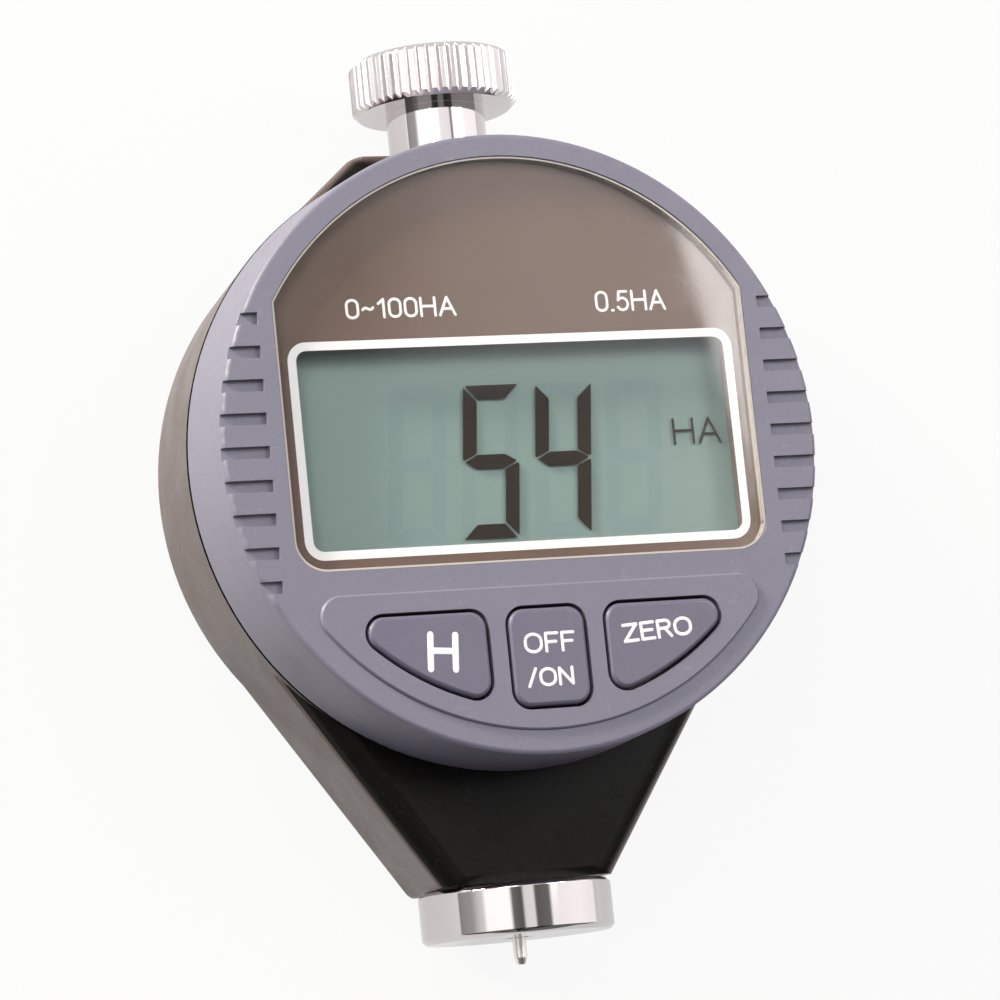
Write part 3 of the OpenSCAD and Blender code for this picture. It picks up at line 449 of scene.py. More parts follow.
def coat_of(name, clean, marked, rough, grain_size=3000.0, clouds=60.0, bump=0.05, depth=0.02, lathe=False,
            scuff=None, painted_sheen=None, **constants):
    """A finish that runs from clean to marked colour and between two roughnesses, with a fine relief."""
    material = bpy.data.materials.new(name)
    tree = nodes_of(material)
    shader = add(tree, "ShaderNodeBsdfPrincipled", (300, 0))
    out = add(tree, "ShaderNodeOutputMaterial", (600, 0))
    tree.links.new(shader.outputs[0], out.inputs[0])
    for label, value in constants.items():
        shader.inputs[label.replace("_", " ")].default_value = value
    if lathe:
        relief = placed(tree, turning, (-700, -200), Lines_per_m=grain_size, Marks_per_m=clouds)
        veil = relief.outputs["Haze"]
    else:
        relief = placed(tree, grain, (-700, -200), Grains_per_m=grain_size, Clouds_per_m=clouds)
        veil = relief.outputs["Cloud"]
    hands = placed(tree, smudge, (-700, 200))
    tone = add(tree, "ShaderNodeMix", (-200, 200), data_type="RGBA")
    tone.inputs[6].default_value = (*clean, 1)
    tone.inputs[7].default_value = (*marked, 1)
    tree.links.new(veil, tone.inputs[0])
    last = tone.outputs[2]
    if scuff:
        rubbed = add(tree, "ShaderNodeMix", (50, 250), data_type="RGBA")
        faint = add(tree, "ShaderNodeMath", (-200, 420), operation="MULTIPLY")
        faint.inputs[1].default_value = SCUFF_SHARE
        rubbed.inputs[7].default_value = (*scuff, 1)
        tree.links.new(hands.outputs["Scuff"], faint.inputs[0])
        tree.links.new(faint.outputs[0], rubbed.inputs[0])
        tree.links.new(last, rubbed.inputs[6])
        last = rubbed.outputs[2]
    # Painted sheen: a lighter colour mixed in where the surface is seen at a slant, in place of reflected
    # light.
    if painted_sheen:
        slant = add(tree, "ShaderNodeLayerWeight", (-200, 650), Blend=0.5)
        share = add(tree, "ShaderNodeMapRange", (0, 650), interpolation_type="SMOOTHSTEP")
        share.inputs["From Min"].default_value, share.inputs["From Max"].default_value = PAINTED_SHEEN_SLANT
        painted_sheen_mix = add(tree, "ShaderNodeMix", (200, 350), data_type="RGBA")
        painted_sheen_mix.inputs[7].default_value = (*painted_sheen, 1)
        tree.links.new(slant.outputs["Facing"], share.inputs["Value"])
        tree.links.new(share.outputs[0], painted_sheen_mix.inputs[0])
        tree.links.new(last, painted_sheen_mix.inputs[6])
        last = painted_sheen_mix.outputs[2]
    tree.links.new(last, shader.inputs["Base Color"])
    sheen = add(tree, "ShaderNodeMapRange", (-200, -50))
    sheen.inputs["To Min"].default_value, sheen.inputs["To Max"].default_value = rough
    tree.links.new(hands.outputs["Smudge"], sheen.inputs["Value"])
    tree.links.new(sheen.outputs[0], shader.inputs["Roughness"])
    lift = add(tree, "ShaderNodeBump", (50, -300), Strength=bump, Distance=depth * MM)
    tree.links.new(relief.outputs["Height"], lift.inputs["Height"])
    tree.links.new(lift.outputs[0], shader.inputs["Normal"])
    return material


FINISH = {}
print("recipe is ready")

# %% Plastics and paint
# The black enamel carries a brown-grey painted sheen on the walls that are seen at a slant.
FINISH["casting_paint"] = coat_of(
    "black_enamel", (0.004, 0.0037, 0.0034), (0.008, 0.0072, 0.0064), (0.24, 0.34), grain_size=1600.0,
    bump=0.08, depth=0.03, scuff=(0.026, 0.023, 0.021), painted_sheen=(0.088, 0.064, 0.060),
    Specular_IOR_Level=0.12)
FINISH["bezel_plastic"] = coat_of(
    "slate_blue_plastic", (0.164, 0.158, 0.214), (0.176, 0.170, 0.228), (0.42, 0.54), grain_size=5200.0,
    bump=0.22, depth=0.03, scuff=(0.25, 0.24, 0.29))
FINISH["key_plastic"] = coat_of(
    "slate_key_plastic", (0.120, 0.115, 0.166), (0.130, 0.125, 0.178), (0.40, 0.52), grain_size=5200.0,
    bump=0.2, depth=0.03, scuff=(0.18, 0.17, 0.23))
FINISH["bezel_edge"] = coat_of(
    "rubbed_bezel_edge", (0.164, 0.158, 0.214), (0.176, 0.170, 0.228), (0.18, 0.26), grain_size=5200.0,
    bump=0.05)
FINISH["key_edge"] = coat_of(
    "rubbed_key_edge", (0.120, 0.115, 0.166), (0.130, 0.125, 0.178), (0.18, 0.26), grain_size=5200.0,
    bump=0.05)
FINISH["mask_print"] = coat_of(
    "brown_screen_ink", (0.104, 0.063, 0.048), (0.111, 0.068, 0.052), (0.6, 0.7), grain_size=14000.0,
    bump=0.01)
FINISH["white_ink"] = coat_of(
    "white_screen_ink", (0.84, 0.85, 0.88), (0.90, 0.91, 0.94), (0.5, 0.6), grain_size=4000.0, bump=0.05)
FINISH["key_ink"] = coat_of(
    "pale_key_ink", (0.80, 0.79, 0.83), (0.86, 0.85, 0.89), (0.5, 0.6), grain_size=4000.0, bump=0.05)
FINISH["ground_edge"] = coat_of(
    "ground_acrylic_edge", (0.42, 0.385, 0.35), (0.54, 0.50, 0.46), (0.35, 0.5), grain_size=2600.0, bump=0.1)
FINISH["reflector_film"] = coat_of(
    "grey_green_reflector", (0.250, 0.318, 0.284), (0.268, 0.340, 0.306), (0.55, 0.65), grain_size=9000.0,
    bump=0.1)
FINISH["display_pane"] = coat_of(
    "grey_green_display", (0.186, 0.278, 0.266), (0.194, 0.288, 0.276), (0.5, 0.6), grain_size=12000.0,
    bump=0.03)
FINISH["segment_ghost"] = coat_of(
    "resting_liquid_crystal", (0.172, 0.262, 0.264), (0.180, 0.272, 0.274), (0.5, 0.6), grain_size=12000.0,
    bump=0.03)
FINISH["segment_black"] = coat_of(
    "dark_liquid_crystal", (0.022, 0.016, 0.013), (0.026, 0.019, 0.016), (0.45, 0.55), grain_size=6000.0,
    bump=0.03, Specular_IOR_Level=0.1)
FINISH["holder_plastic"] = coat_of(
    "dark_display_holder", (0.060, 0.052, 0.048), (0.075, 0.065, 0.060), (0.45, 0.6), grain_size=4000.0,
    bump=0.1)
FINISH["cap_plastic"] = coat_of(
    "black_cap_plastic", (0.018, 0.018, 0.019), (0.026, 0.026, 0.027), (0.42, 0.58), grain_size=5200.0,
    bump=0.25, depth=0.03, scuff=(0.05, 0.05, 0.05))
FINISH["seal_rubber"] = coat_of(
    "black_seal_rubber", (0.012, 0.012, 0.012), (0.020, 0.020, 0.020), (0.6, 0.75), grain_size=5200.0)
FINISH["zebra_rubber"] = coat_of(
    "banded_silicone", (0.62, 0.58, 0.52), (0.70, 0.66, 0.60), (0.5, 0.65), grain_size=5200.0)
FINISH["board_laminate"] = coat_of(
    "green_laminate", (0.020, 0.105, 0.040), (0.030, 0.130, 0.052), (0.3, 0.45), grain_size=4000.0,
    clouds=400.0)
FINISH["chip_epoxy"] = coat_of(
    "black_epoxy", (0.010, 0.010, 0.011), (0.016, 0.016, 0.017), (0.3, 0.4), grain_size=1500.0)
FINISH["switch_plastic"] = coat_of(
    "switch_plastic", (0.030, 0.030, 0.032), (0.040, 0.040, 0.042), (0.45, 0.6), grain_size=5200.0)
FINISH["plunger_plastic"] = coat_of(
    "ivory_plunger", (0.74, 0.70, 0.60), (0.80, 0.76, 0.66), (0.4, 0.55), grain_size=5200.0)
FINISH["scale_laminate"] = coat_of(
    "scale_laminate", (0.42, 0.30, 0.12), (0.50, 0.36, 0.16), (0.35, 0.5), grain_size=4000.0)
print("plastics:", len(FINISH))

# %% Metals
def metal(name, clean, marked, rough, bump=0.04):
    """A bare metal with the lines of a lathe."""
    return coat_of(name, clean, marked, rough, grain_size=9000.0, clouds=250.0, bump=bump, depth=0.01,
                   lathe=True, Metallic=1.0)


FINISH["chrome"] = metal("bright_chrome", (0.635, 0.60, 0.605), (0.675, 0.64, 0.645), (0.04, 0.08), bump=0.01)
FINISH["knurl_chrome"] = metal("satin_knurl_chrome", (0.61, 0.58, 0.585), (0.65, 0.62, 0.625), (0.16, 0.22),
                               bump=0.01)
FINISH["hard_steel"] = metal("hardened_tip_steel", (0.95, 0.90, 0.86), (0.97, 0.93, 0.89), (0.30, 0.38))
FINISH["spindle_steel"] = metal("ground_spindle_steel", (0.55, 0.56, 0.57), (0.62, 0.63, 0.64), (0.18, 0.28))
FINISH["screw_steel"] = metal("zinc_screw_steel", (0.40, 0.41, 0.42), (0.52, 0.53, 0.54), (0.25, 0.42))
FINISH["spring_steel"] = metal("spring_steel", (0.40, 0.41, 0.43), (0.48, 0.49, 0.51), (0.25, 0.35))
FINISH["nickel"] = metal("nickel", (0.62, 0.60, 0.55), (0.70, 0.68, 0.63), (0.15, 0.25))
FINISH["contact_brass"] = metal("contact_brass", (0.66, 0.48, 0.20), (0.74, 0.56, 0.26), (0.2, 0.32))
FINISH["bush_brass"] = metal("bush_brass", (0.58, 0.41, 0.17), (0.66, 0.48, 0.22), (0.22, 0.35))
FINISH["carrier_aluminium"] = metal("milled_aluminium", (0.62, 0.63, 0.64), (0.70, 0.71, 0.72), (0.3, 0.42))
print("finishes so far:", len(FINISH))

# %% [markdown]
# Glass must let the light through to the print behind it. A path tracer treats the shadow of clear glass
# as a dark one, so the shader is swapped for a see-through one on the rays that only carry light. What
# the eye sees stays glass.

# %% Clear finishes
def clear_of(name, tint, rough, index):
    """A clear solid with a refractive index, faintly tinted and smudged."""
    material = bpy.data.materials.new(name)
    tree = nodes_of(material)
    shader = add(tree, "ShaderNodeBsdfPrincipled", (0, 0), Base_Color=(*tint, 1), IOR=index,
                 Transmission_Weight=1.0)
    marks = placed(tree, smudge, (-600, 0))
    sheen = add(tree, "ShaderNodeMapRange", (-300, 0))
    sheen.inputs["To Min"].default_value, sheen.inputs["To Max"].default_value = rough
    through = add(tree, "ShaderNodeBsdfTransparent", (0, -500), Color=(*tint, 1))
    path = add(tree, "ShaderNodeLightPath", (-200, 300))
    carry = add(tree, "ShaderNodeMath", (0, 300), operation="MAXIMUM")
    swap = add(tree, "ShaderNodeMixShader", (300, 0))
    out = add(tree, "ShaderNodeOutputMaterial", (500, 0))
    tree.links.new(marks.outputs["Smudge"], sheen.inputs["Value"])
    tree.links.new(sheen.outputs[0], shader.inputs["Roughness"])
    tree.links.new(path.outputs["Is Shadow Ray"], carry.inputs[0])
    tree.links.new(path.outputs["Is Diffuse Ray"], carry.inputs[1])
    tree.links.new(carry.outputs[0], swap.inputs[0])
    tree.links.new(shader.outputs[0], swap.inputs[1])
    tree.links.new(through.outputs[0], swap.inputs[2])
    tree.links.new(swap.outputs[0], out.inputs[0])
    return material


FINISH["lens_clear"] = clear_of("clear_acrylic", (0.97, 0.965, 0.955), (0.015, 0.05), 1.49)
FINISH["display_glass"] = clear_of("display_glass", (0.95, 0.97, 0.96), (0.01, 0.03), 1.5)
print("finishes:", len(FINISH))

# %% Dress every solid
for part in frame["record"]["subparts"]:
    solid = frame["nodes"][part["node"]]
    solid.data.materials.clear()
    solid.data.materials.append(FINISH[part["material_slot"]])

# %% [markdown]
# ## Moulded and cast shells
#
# The casting, the bezel and the keys are already right in the CAD model, but their edges are sharp, and a
# sharp edge never catches the light. A copy of each solid is merged into one skin, its flat areas are
# joined, and a small bevel rounds every edge, as a mould or a polishing wheel does.

# %% Softened copies
FLAT = 0.05         # faces that bend less than this many degrees are one flat
SLIVER = 0.0003     # corners of the bevel that lie closer are one corner


def softened(node, name, body, slot, radius, steps=2, corner=34, edge_finish=None):
    """A copy of a CAD solid whose sharp edges are rounded by radius millimetres, and polished if need be."""
    piece = copy_of(node, name, FLAT)
    bpy.ops.object.mode_set(mode="OBJECT")
    finishes = [slot, edge_finish] if edge_finish else [slot]
    piece.data.materials.clear()
    for label in finishes:
        piece.data.materials.append(FINISH[label])
    bpy.ops.object.modifier_add(type="BEVEL")
    edge = piece.modifiers[-1]
    edge.width = radius * MM
    edge.segments = steps
    edge.limit_method = "ANGLE"
    edge.angle_limit = math.radians(corner)
    edge.use_clamp_overlap = True
    edge.material = len(finishes) - 1
    bpy.ops.object.modifier_apply(modifier=edge.name)
    take(piece, editing=True)
    weld(SLIVER)
    bpy.ops.object.mode_set(mode="OBJECT")
    bpy.ops.object.shade_smooth_by_angle(angle=math.radians(corner))
    bpy.ops.object.modifier_add(type="WEIGHTED_NORMAL")
    piece.modifiers[-1].keep_sharp = True
    bpy.ops.object.modifier_apply(modifier=piece.modifiers[-1].name)
    return finish(piece, name, body, None, [node])


softened("main_casting", "casting_shell", "case", "casting_paint", 0.12, corner=30)
softened("front_bezel", "bezel_shell", "case", "bezel_plastic", 0.16, steps=3, edge_finish="bezel_edge")
softened("hold_key", "hold_cap", "hold_button", "key_plastic", 0.12, steps=3, edge_finish="key_edge")
softened("power_key", "power_cap", "power_button", "key_plastic", 0.12, steps=3, edge_finish="key_edge")
softened("zero_key", "zero_cap", "zero_button", "key_plastic", 0.12, steps=3, edge_finish="key_edge")
knob = softened("hand_knob", "knurled_knob", "case", "chrome", 0.04, corner=24)
softened("presser_foot", "polished_foot", "case", "chrome", 0.12, steps=3, corner=24)
softened("indenter", "indenter_pin", "indenter_rod", "hard_steel", 0.03, corner=24)
softened("battery_cap", "coin_cap", "battery_door", "cap_plastic", 0.08)
softened("case_screws", "back_screws", "case", "screw_steel", 0.05)

# %% Satin on the knurling
FLUTE_REACH = 0.8       # the flutes lie beyond this share of the knob's radius
FLUTE_SLANT = 0.6       # and face along the axis by less than this
heights = [corner.co.z for corner in knob.data.vertices]
knob_axis, knob_reach = (max(heights) + min(heights)) / 2, (max(heights) - min(heights)) / 2


def on_knurling(face):
    middle = face.calc_center_median()
    outside = math.hypot(middle.x, middle.z - knob_axis) > FLUTE_REACH * knob_reach
    return outside and abs(face.normal.y) < FLUTE_SLANT


knob.data.materials.append(FINISH["knurl_chrome"])
take(knob, editing=True)
satin = pick(knob, "faces", on_knurling)
knob.active_material_index = 1
bpy.ops.object.material_slot_assign()
clear_bench()
print("satin faces on the knob:", satin)

# %% [markdown]
# ## Load spring
#
# The spindle pushes its seat up into the bore, and the coil between the seat and the adjuster gets
# shorter. Here a softened copy of the coil is made and given a mesh of its own.

# %% Copy of the coil
coil = softened("load_spring", "load_coil", "case", "spring_steel", 0.01, steps=1, corner=60)
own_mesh(coil)

# %% [markdown]
# ## Window
#
# The lens is a flat pane of acrylic. Its rim is ground, not polished, so it shows as a thin pale line all
# round the window, wider on the far side where the eye looks through the pane at the rim. The pane and
# the rim start from the same solid: both flat faces are inset by the width of the rim, and then either
# the middle or the border is thrown away and the open edges are bridged.

# %% Pane and ground rim
RIM = 0.18
PANE_FLAT = 0.2         # faces of the lens that bend less than this many degrees are one flat
LEVEL = 0.9             # a face lies level where the Z part of its normal is larger
BROAD = 50 * MM * MM    # only the middle of the lens has larger faces
LENS_MIDDLE_Z = 25.5
PANE_LIFT = 0.03        # the pane's back clears the print by this much
SMOOTH = 30             # edges that bend less than this many degrees are shaded smooth


def window_blank(name):
    """A copy of the lens in edit mode, with a border as wide as the rim on both flat faces."""
    piece = copy_of("window_lens", name, PANE_FLAT)
    pick(piece, "faces", lambda f: abs(f.normal.z) > LEVEL)
    bpy.ops.mesh.inset(thickness=RIM * MM, use_individual=True)
    return piece


def close_walls(piece):
    """Bridges the two open edges of a piece in edit mode, and leaves that mode."""
    bpy.ops.mesh.select_mode(type="EDGE")
    pick(piece, "edges", lambda e: e.is_boundary)
    bpy.ops.mesh.bridge_edge_loops()
    bpy.ops.mesh.select_all(action="SELECT")
    bpy.ops.mesh.normals_make_consistent(inside=False)
    bpy.ops.object.mode_set(mode="OBJECT")


rim = window_blank("lens_rim")
pick(rim, "faces", lambda f: abs(f.normal.z) > LEVEL and f.calc_area() > BROAD)
bpy.ops.mesh.delete(type="FACE")
close_walls(rim)
take(rim)
bpy.ops.object.shade_smooth_by_angle(angle=math.radians(SMOOTH))
finish(rim, "lens_rim", "case", FINISH["ground_edge"])

pane = window_blank("lens_pane")
pick(pane, "faces", lambda f: f.calc_area() < BROAD)
bpy.ops.mesh.delete(type="FACE")
close_walls(pane)
take(pane, editing=True)
pick(pane, "verts", lambda v: v.co.z < LENS_MIDDLE_Z * MM)
bpy.ops.transform.translate(value=(0, 0, PANE_LIFT * MM))
bpy.ops.object.mode_set(mode="OBJECT")
bpy.ops.object.shade_smooth_by_angle(angle=math.radians(SMOOTH))
finish(pane, "lens_pane", "case", FINISH["lens_clear"], ["window_lens"])

# %% [markdown]
# The white line round the display is printed on the back of the lens. A plane is pulled to size, its
# corners are rounded by a vertex bevel, and an inset leaves a ring of even width once the middle is taken
# out.

# %% White display frame
MASK_Z = 25.15
LINE_W, LINE_H, LINE_CORNER = 43.2, 19.9, 1.8
LINE_PEN = 0.8
LINE_FILM = 0.012
LINE_GAP = 0.004        # between the mask and the line
bpy.ops.mesh.primitive_plane_add(size=1, location=(0, DIAL_Y * MM, (MASK_Z + LINE_GAP) * MM))
line = bpy.context.object
take(line, editing=True)
bpy.ops.transform.resize(value=(LINE_W * MM, LINE_H * MM, 1))
bpy.ops.mesh.select_all(action="SELECT")
bpy.ops.mesh.bevel(offset=LINE_CORNER * MM, segments=8, affect="VERTICES")
bpy.ops.mesh.select_all(action="SELECT")
bpy.ops.mesh.inset(thickness=LINE_PEN * MM)
bpy.ops.mesh.delete(type="FACE")
bpy.ops.mesh.select_all(action="SELECT")
bpy.ops.mesh.extrude_region_move(TRANSFORM_OT_translate={"value": (0, 0, LINE_FILM * MM)})
bpy.ops.mesh.select_all(action="SELECT")
bpy.ops.mesh.normals_make_consistent(inside=False)
bpy.ops.object.mode_set(mode="OBJECT")
bpy.ops.object.transform_apply(location=True, rotation=True, scale=True)
finish(line, "display_frame_line", "case", FINISH["white_ink"])

# %% [markdown]
# ## Lettering
#
# The figures and letters are drawn with a round pen of one width, as engraved lettering is. Each sign is
# a few strokes on a grid one unit high. A stroke becomes a curve with a round section, which tapers to
# nothing at its ends like the mark of a round pen. The curve is turned into a mesh and pressed flat, so a
# film of ink is left.

# %% The signs
def bow(x, y, rx, ry, start, end, steps=10):
    """Points on part of an oval, from one angle to another in degrees."""
    turns = [math.radians(start + (end - start) * i / steps) for i in range(steps + 1)]
    return [(x + rx * math.cos(a), y + ry * math.sin(a)) for a in turns]


def ring(width):
    """A tall closed oval with straight sides."""
    r = width / 2
    return bow(r, 1 - r, r, r, 0, 180) + bow(r, r, r, r, 180, 360) + [(width, 1 - r)]


SIGNS = {
    "0": (0.56, [ring(0.56)]),
    "1": (0.34, [[(0.04, 0.76), (0.30, 1.0), (0.30, 0.0)]]),
    "5": (0.56, [[(0.52, 1.0), (0.12, 1.0), (0.06, 0.54)] + bow(0.27, 0.33, 0.29, 0.33, 135, -150)]),
    "~": (0.52, [[(0.0, 0.44), (0.07, 0.52), (0.16, 0.54), (0.26, 0.49), (0.36, 0.44), (0.45, 0.46),
                  (0.52, 0.54)]]),
    ".": (0.06, [[(0.0, 0.0), (0.06, 0.0)]]),
    "/": (0.40, [[(0.0, -0.04), (0.40, 1.04)]]),
    "A": (0.76, [[(0.0, 0.0), (0.38, 1.0), (0.76, 0.0)], [(0.14, 0.36), (0.62, 0.36)]]),
    "E": (0.60, [[(0.60, 1.0), (0.0, 1.0), (0.0, 0.0), (0.60, 0.0)], [(0.0, 0.53), (0.52, 0.53)]]),
    "F": (0.56, [[(0.56, 1.0), (0.0, 1.0), (0.0, 0.0)], [(0.0, 0.52), (0.48, 0.52)]]),
    "H": (0.70, [[(0.0, 0.0), (0.0, 1.0)], [(0.70, 0.0), (0.70, 1.0)], [(0.0, 0.53), (0.70, 0.53)]]),
    "N": (0.68, [[(0.0, 0.0), (0.0, 1.0), (0.68, 0.0), (0.68, 1.0)]]),
    "O": (0.78, [ring(0.78)]),
    "R": (0.62, [[(0.0, 0.0), (0.0, 1.0)] + bow(0.36, 0.76, 0.24, 0.24, 90, -90) + [(0.0, 0.52)],
                 [(0.34, 0.52), (0.62, 0.0)]]),
    "Z": (0.66, [[(0.0, 1.0), (0.66, 1.0), (0.0, 0.0), (0.66, 0.0)]]),
}
print("signs:", "".join(sorted(SIGNS)))

# %% The pen
PEN_SIDES = 4           # fineness of the pen's round section
SHARP_TURN = 40         # a stroke that turns by more degrees is cut in two
DOME = [(0.5, 0.866), (0.8, 0.6), (0.95, 0.31), (1.0, 0.02)]    # way out and radius along a round end


def pen_stroke(curve, points, pen):
    """One stroke of the pen: rounded ends, or a closed loop where the last point is the first again."""
    closed = len(points) > 3 and (Vector(points[0]) - Vector(points[-1])).length < 0.01 * pen
    track = [(Vector((x, y, 0)), 1.0) for x, y in points]
    if not closed:
        head = (track[0][0] - track[1][0]).normalized() * pen / 2
        tail = (track[-1][0] - track[-2][0]).normalized() * pen / 2
        track = ([(track[0][0] + head * far, r) for far, r in reversed(DOME)] + track
                 + [(track[-1][0] + tail * far, r) for far, r in DOME])
    else:
        track = track[:-1]
    spline = curve.splines.new("POLY")
    spline.points.add(len(track) - 1)
    spline.use_cyclic_u = closed
    for point, (place, radius) in zip(spline.points, track):
        point.co = (*place, 1)
        point.radius = radius


def without_corners(points):
    """Cuts a stroke in two at each sharp corner, since a bent tube would be squeezed there."""
    parts = [[points[0]]]
    for before, here, after in zip(points, points[1:], points[2:]):
        parts[-1].append(here)
        turn = (Vector(here) - Vector(before)).angle(Vector(after) - Vector(here))
        if turn > math.radians(SHARP_TURN):
            parts.append([here])
    parts[-1].append(points[-1])
    return parts


def word(text, left, low, wide, tall, pen, gap=0.24):
    """Strokes of a word that fills a box, in millimetres, the width of the pen included."""
    strokes, reach = [], 0.0
    for sign in text:
        width, lines = SIGNS[sign]
        strokes += [[(x + reach, y) for x, y in line] for line in lines]
        reach += width + gap
    reach -= gap
    grow_x, grow_y = (wide - pen) / reach, (tall - pen)
    return [[(left + pen / 2 + x * grow_x, low + pen / 2 + y * grow_y) for x, y in line] for line in strokes]


def ink(name, strokes, pen, base_z, film, body, material, turn=0.0, about=(0, 0)):
    """Draws strokes as a film of ink that lies on the plane base_z of the dial."""
    curve = bpy.data.curves.new(name, "CURVE")
    curve.dimensions = "3D"
    curve.bevel_depth = pen / 2 * MM
    curve.bevel_resolution = PEN_SIDES
    curve.use_fill_caps = True
    for line in strokes:
        for part in without_corners(line):
            pen_stroke(curve, [(x * MM, y * MM) for x, y in part], pen * MM)
    piece = bpy.data.objects.new(name, curve)
    bpy.context.scene.collection.objects.link(piece)
    take(piece)
    bpy.ops.object.convert(target="MESH")
    piece = bpy.context.object
    take(piece, editing=True)
    bpy.ops.mesh.select_all(action="SELECT")
    bpy.ops.transform.resize(value=(1, 1, 2 * film / pen), center_override=(0, 0, 0))
    if turn:
        centre = Vector((about[0], about[1], 0)) * MM
        bpy.ops.transform.rotate(value=-math.radians(turn), orient_axis="Z", center_override=centre)
    bpy.ops.transform.translate(value=(0, DIAL_Y * MM, base_z * MM))
    bpy.ops.object.mode_set(mode="OBJECT")
    bpy.ops.object.shade_smooth()
    return finish(piece, name, body, material)


PRINT_FILM = 0.008
PRINT_Z = MASK_Z + PRINT_FILM
PRINT_PEN = 0.26
range_strokes = word("0~100HA", -15.7, 11.9, 10.6, 1.9, PRINT_PEN)
step_strokes = word("0.5HA", 8.5, 11.8, 7.0, 2.0, PRINT_PEN)
ink("range_text", range_strokes, PRINT_PEN, PRINT_Z, PRINT_FILM, "case", FINISH["white_ink"])
ink("step_text", step_strokes, PRINT_PEN, PRINT_Z, PRINT_FILM, "case", FINISH["white_ink"])

KEY_Z = 26.95
HOLD_PEN, POWER_PEN, ZERO_PEN = 0.6, 0.29, 0.31
HOLD_FILM, KEY_FILM = 0.015, 0.012
hold_strokes = word("H", -11.6, -20.8, 2.95, 3.7, HOLD_PEN)
power_strokes = word("OFF", -2.4, -19.6, 4.95, 1.9, POWER_PEN)
power_strokes += word("/ON", -2.4, -22.65, 4.5, 1.75, POWER_PEN)
zero_strokes = word("ZERO", 7.24, -19.2, 6.87, 1.78, ZERO_PEN)
ink("hold_letter", hold_strokes, HOLD_PEN, KEY_Z, HOLD_FILM, "hold_button", FINISH["key_ink"],
    turn=-4.5, about=(-10.1, -18.95))
ink("off_on_letters", power_strokes, POWER_PEN, KEY_Z, KEY_FILM, "power_button",
    FINISH["key_ink"])
ink("zero_letters", zero_strokes, ZERO_PEN, KEY_Z, KEY_FILM, "zero_button", FINISH["key_ink"],
    turn=3.5, about=(7.24, -19.2))

# %% [markdown]
# ## Display figures
#
# The figures of a liquid crystal display are seven bars each, mitred where they meet and leaning a
# little. They lie a little above the grey-green ground of the display, so each bar drops a soft shadow
# just behind itself. The ground is a copy of the display glass with its upper face lowered. The bars that
# are off stay on it as a faint ghost.

# %% Ground of the display
GROUND_Z = 22.95
GROUND_EDGE = 0.15
NEAR = 0.1          # corners this close below the upper face belong to it
ground = copy_of("lcd_glass", "display_ground", PANE_FLAT)
top = max(v.co.z for v in bmesh.from_edit_mesh(ground.data).verts)
pick(ground, "verts", lambda v: v.co.z > top - NEAR * MM)
bpy.ops.transform.translate(value=(0, 0, GROUND_Z * MM - top))
pick(ground, "edges", lambda e: all(v.co.z > (GROUND_Z - NEAR) * MM for v in e.verts))
bpy.ops.mesh.bevel(offset=GROUND_EDGE * MM, segments=2)
bpy.ops.object.mode_set(mode="OBJECT")
finish(ground, "display_ground", "case", FINISH["display_pane"], ["lcd_glass"])

# %% Seven bars
FIG_W, FIG_H = 5.47, 14.2
BAR, MITRE = 1.32, 0.09
LEAN = math.tan(math.radians(6.0))


def bar_outlines():
    """The outline of each bar of a figure whose lower left corner is the origin."""
    w, h, t, m = FIG_W, FIG_H, BAR, MITRE
    mid = h / 2
    k = t / 2
    nib, tip = 0.12 * t, 0.16 * t
    return {
        "a": [(2 * m, h), (w - 2 * m, h), (w - t - m, h - t), (t + m, h - t)],
        "d": [(2 * m, 0), (t + m, t), (w - t - m, t), (w - 2 * m, 0)],
        "f": [(0, h - 2 * m), (t, h - t - 2 * m), (t, mid + k + m), (nib, mid + 2 * m), (0, mid + 3 * m)],
        "b": [(w, h - 2 * m), (w, mid + 3 * m), (w - nib, mid + 2 * m), (w - t, mid + k + m),
              (w - t, h - t - 2 * m)],
        "e": [(0, 2 * m), (0, mid - 3 * m), (nib, mid - 2 * m), (t, mid - k - m), (t, t + 2 * m)],
        "c": [(w, 2 * m), (w - t, t + 2 * m), (w - t, mid - k - m), (w - nib, mid - 2 * m), (w, mid - 3 * m)],
        "g": [(tip, mid), (t + m, mid + k), (w - t - m, mid + k), (w - tip, mid), (w - t - m, mid - k),
              (t + m, mid - k)],
    }


def rounded(points, size=0.14, steps=3):
    """The outline with each corner cut by a short curve that stays short of the middle of a side."""
    curve = []
    for number, point in enumerate(points):
        corner = Vector(point)
        sides = [Vector(points[number - 1]) - corner, Vector(points[(number + 1) % len(points)]) - corner]
        ends = [corner + side.normalized() * min(size, 0.4 * side.length) for side in sides]
        for step in range(steps + 1):
            share = step / steps
            curve.append(ends[0].lerp(corner, share).lerp(corner.lerp(ends[1], share), share))
    return curve


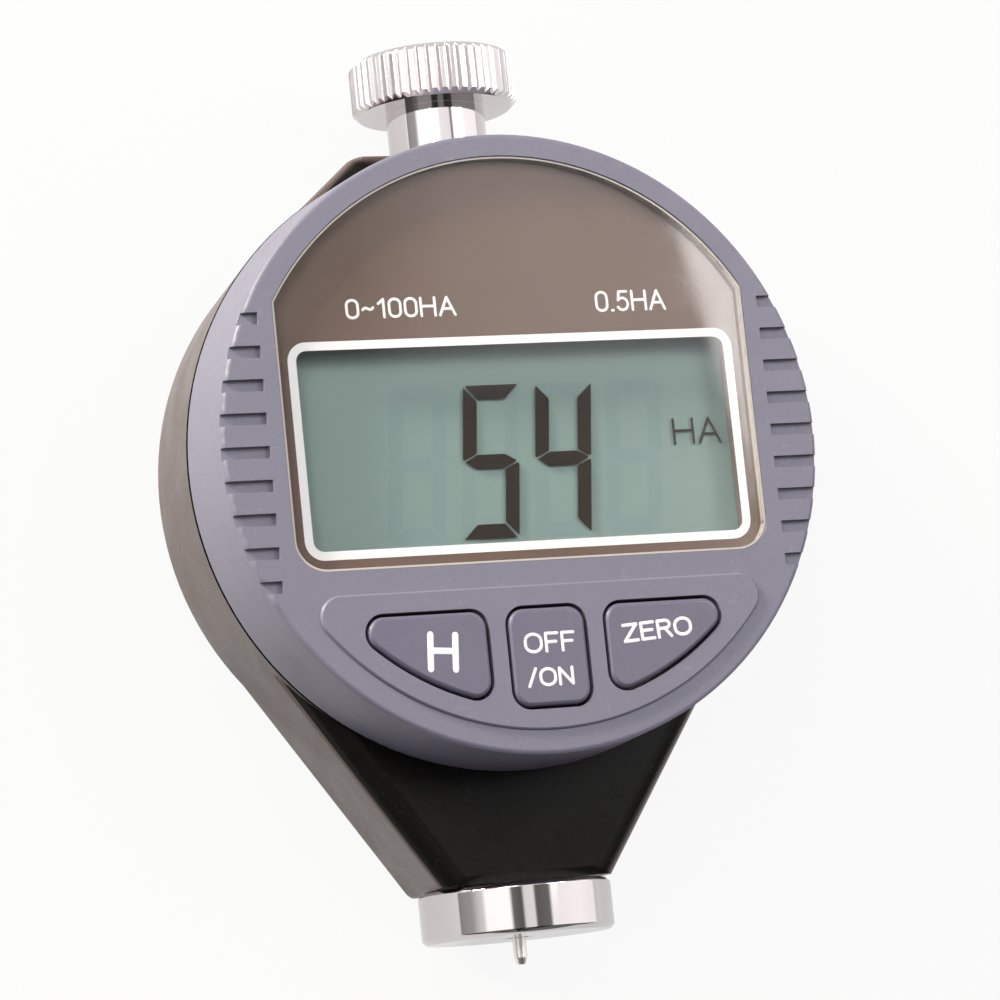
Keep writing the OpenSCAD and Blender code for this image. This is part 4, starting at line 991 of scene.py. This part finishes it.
def bars(name, marks, plane_z, film, material):
    """One mesh with the bars of several figures, as (bars, left edge, foot) in dial millimetres."""
    outlines = bar_outlines()
    corners, faces = [], []
    for lit, left, foot in marks:
        for letter in lit:
            first = len(corners)
            for x, y in rounded(outlines[letter]):
                lean = (y - FIG_H / 2) * LEAN
                corners.append(((left + x + lean) * MM, (foot + y + DIAL_Y) * MM, plane_z * MM))
            faces.append(list(range(first, len(corners))))
    mesh = bpy.data.meshes.new(name)
    mesh.from_pydata(corners, [], faces)
    piece = bpy.data.objects.new(name, mesh)
    bpy.context.scene.collection.objects.link(piece)
    take(piece, editing=True)
    bpy.ops.mesh.select_all(action="SELECT")
    bpy.ops.mesh.normals_make_consistent(inside=False)
    bpy.ops.mesh.extrude_region_move(TRANSFORM_OT_translate={"value": (0, 0, film * MM)})
    bpy.ops.mesh.select_all(action="SELECT")
    bpy.ops.mesh.normals_make_consistent(inside=False)
    bpy.ops.object.mode_set(mode="OBJECT")
    return finish(piece, name, "case", material)


CRYSTAL_Z = 23.18
FOOT_Y = -8.45
COLUMNS = [-12.30, -5.25, 1.80, 8.85]       # left edges of the four figures
LIT = ["", "afgcd", "fgbc", ""]
RESTING = ["abcdefg", "be", "ade", "abcdefg"]
LIT_FILM, RESTING_FILM = 0.02, 0.012
UNIT_PEN = 0.24
bars("figures_lit", [(lit, left, FOOT_Y) for lit, left in zip(LIT, COLUMNS)], CRYSTAL_Z, LIT_FILM,
     FINISH["segment_black"])
bars("figures_resting", [(off, left, FOOT_Y) for off, left in zip(RESTING, COLUMNS)], GROUND_Z, RESTING_FILM,
     FINISH["segment_ghost"])
unit_strokes = word("HA", 15.62, -0.62, 4.82, 2.55, UNIT_PEN, gap=0.22)
ink("unit_letters", unit_strokes, UNIT_PEN, CRYSTAL_Z, LIT_FILM, "case",
    FINISH["segment_black"])

# %% [markdown]
# ## Last step
#
# The selection is cleared, and Blender is left in object mode.

# %% Clear the bench
clear_bench()
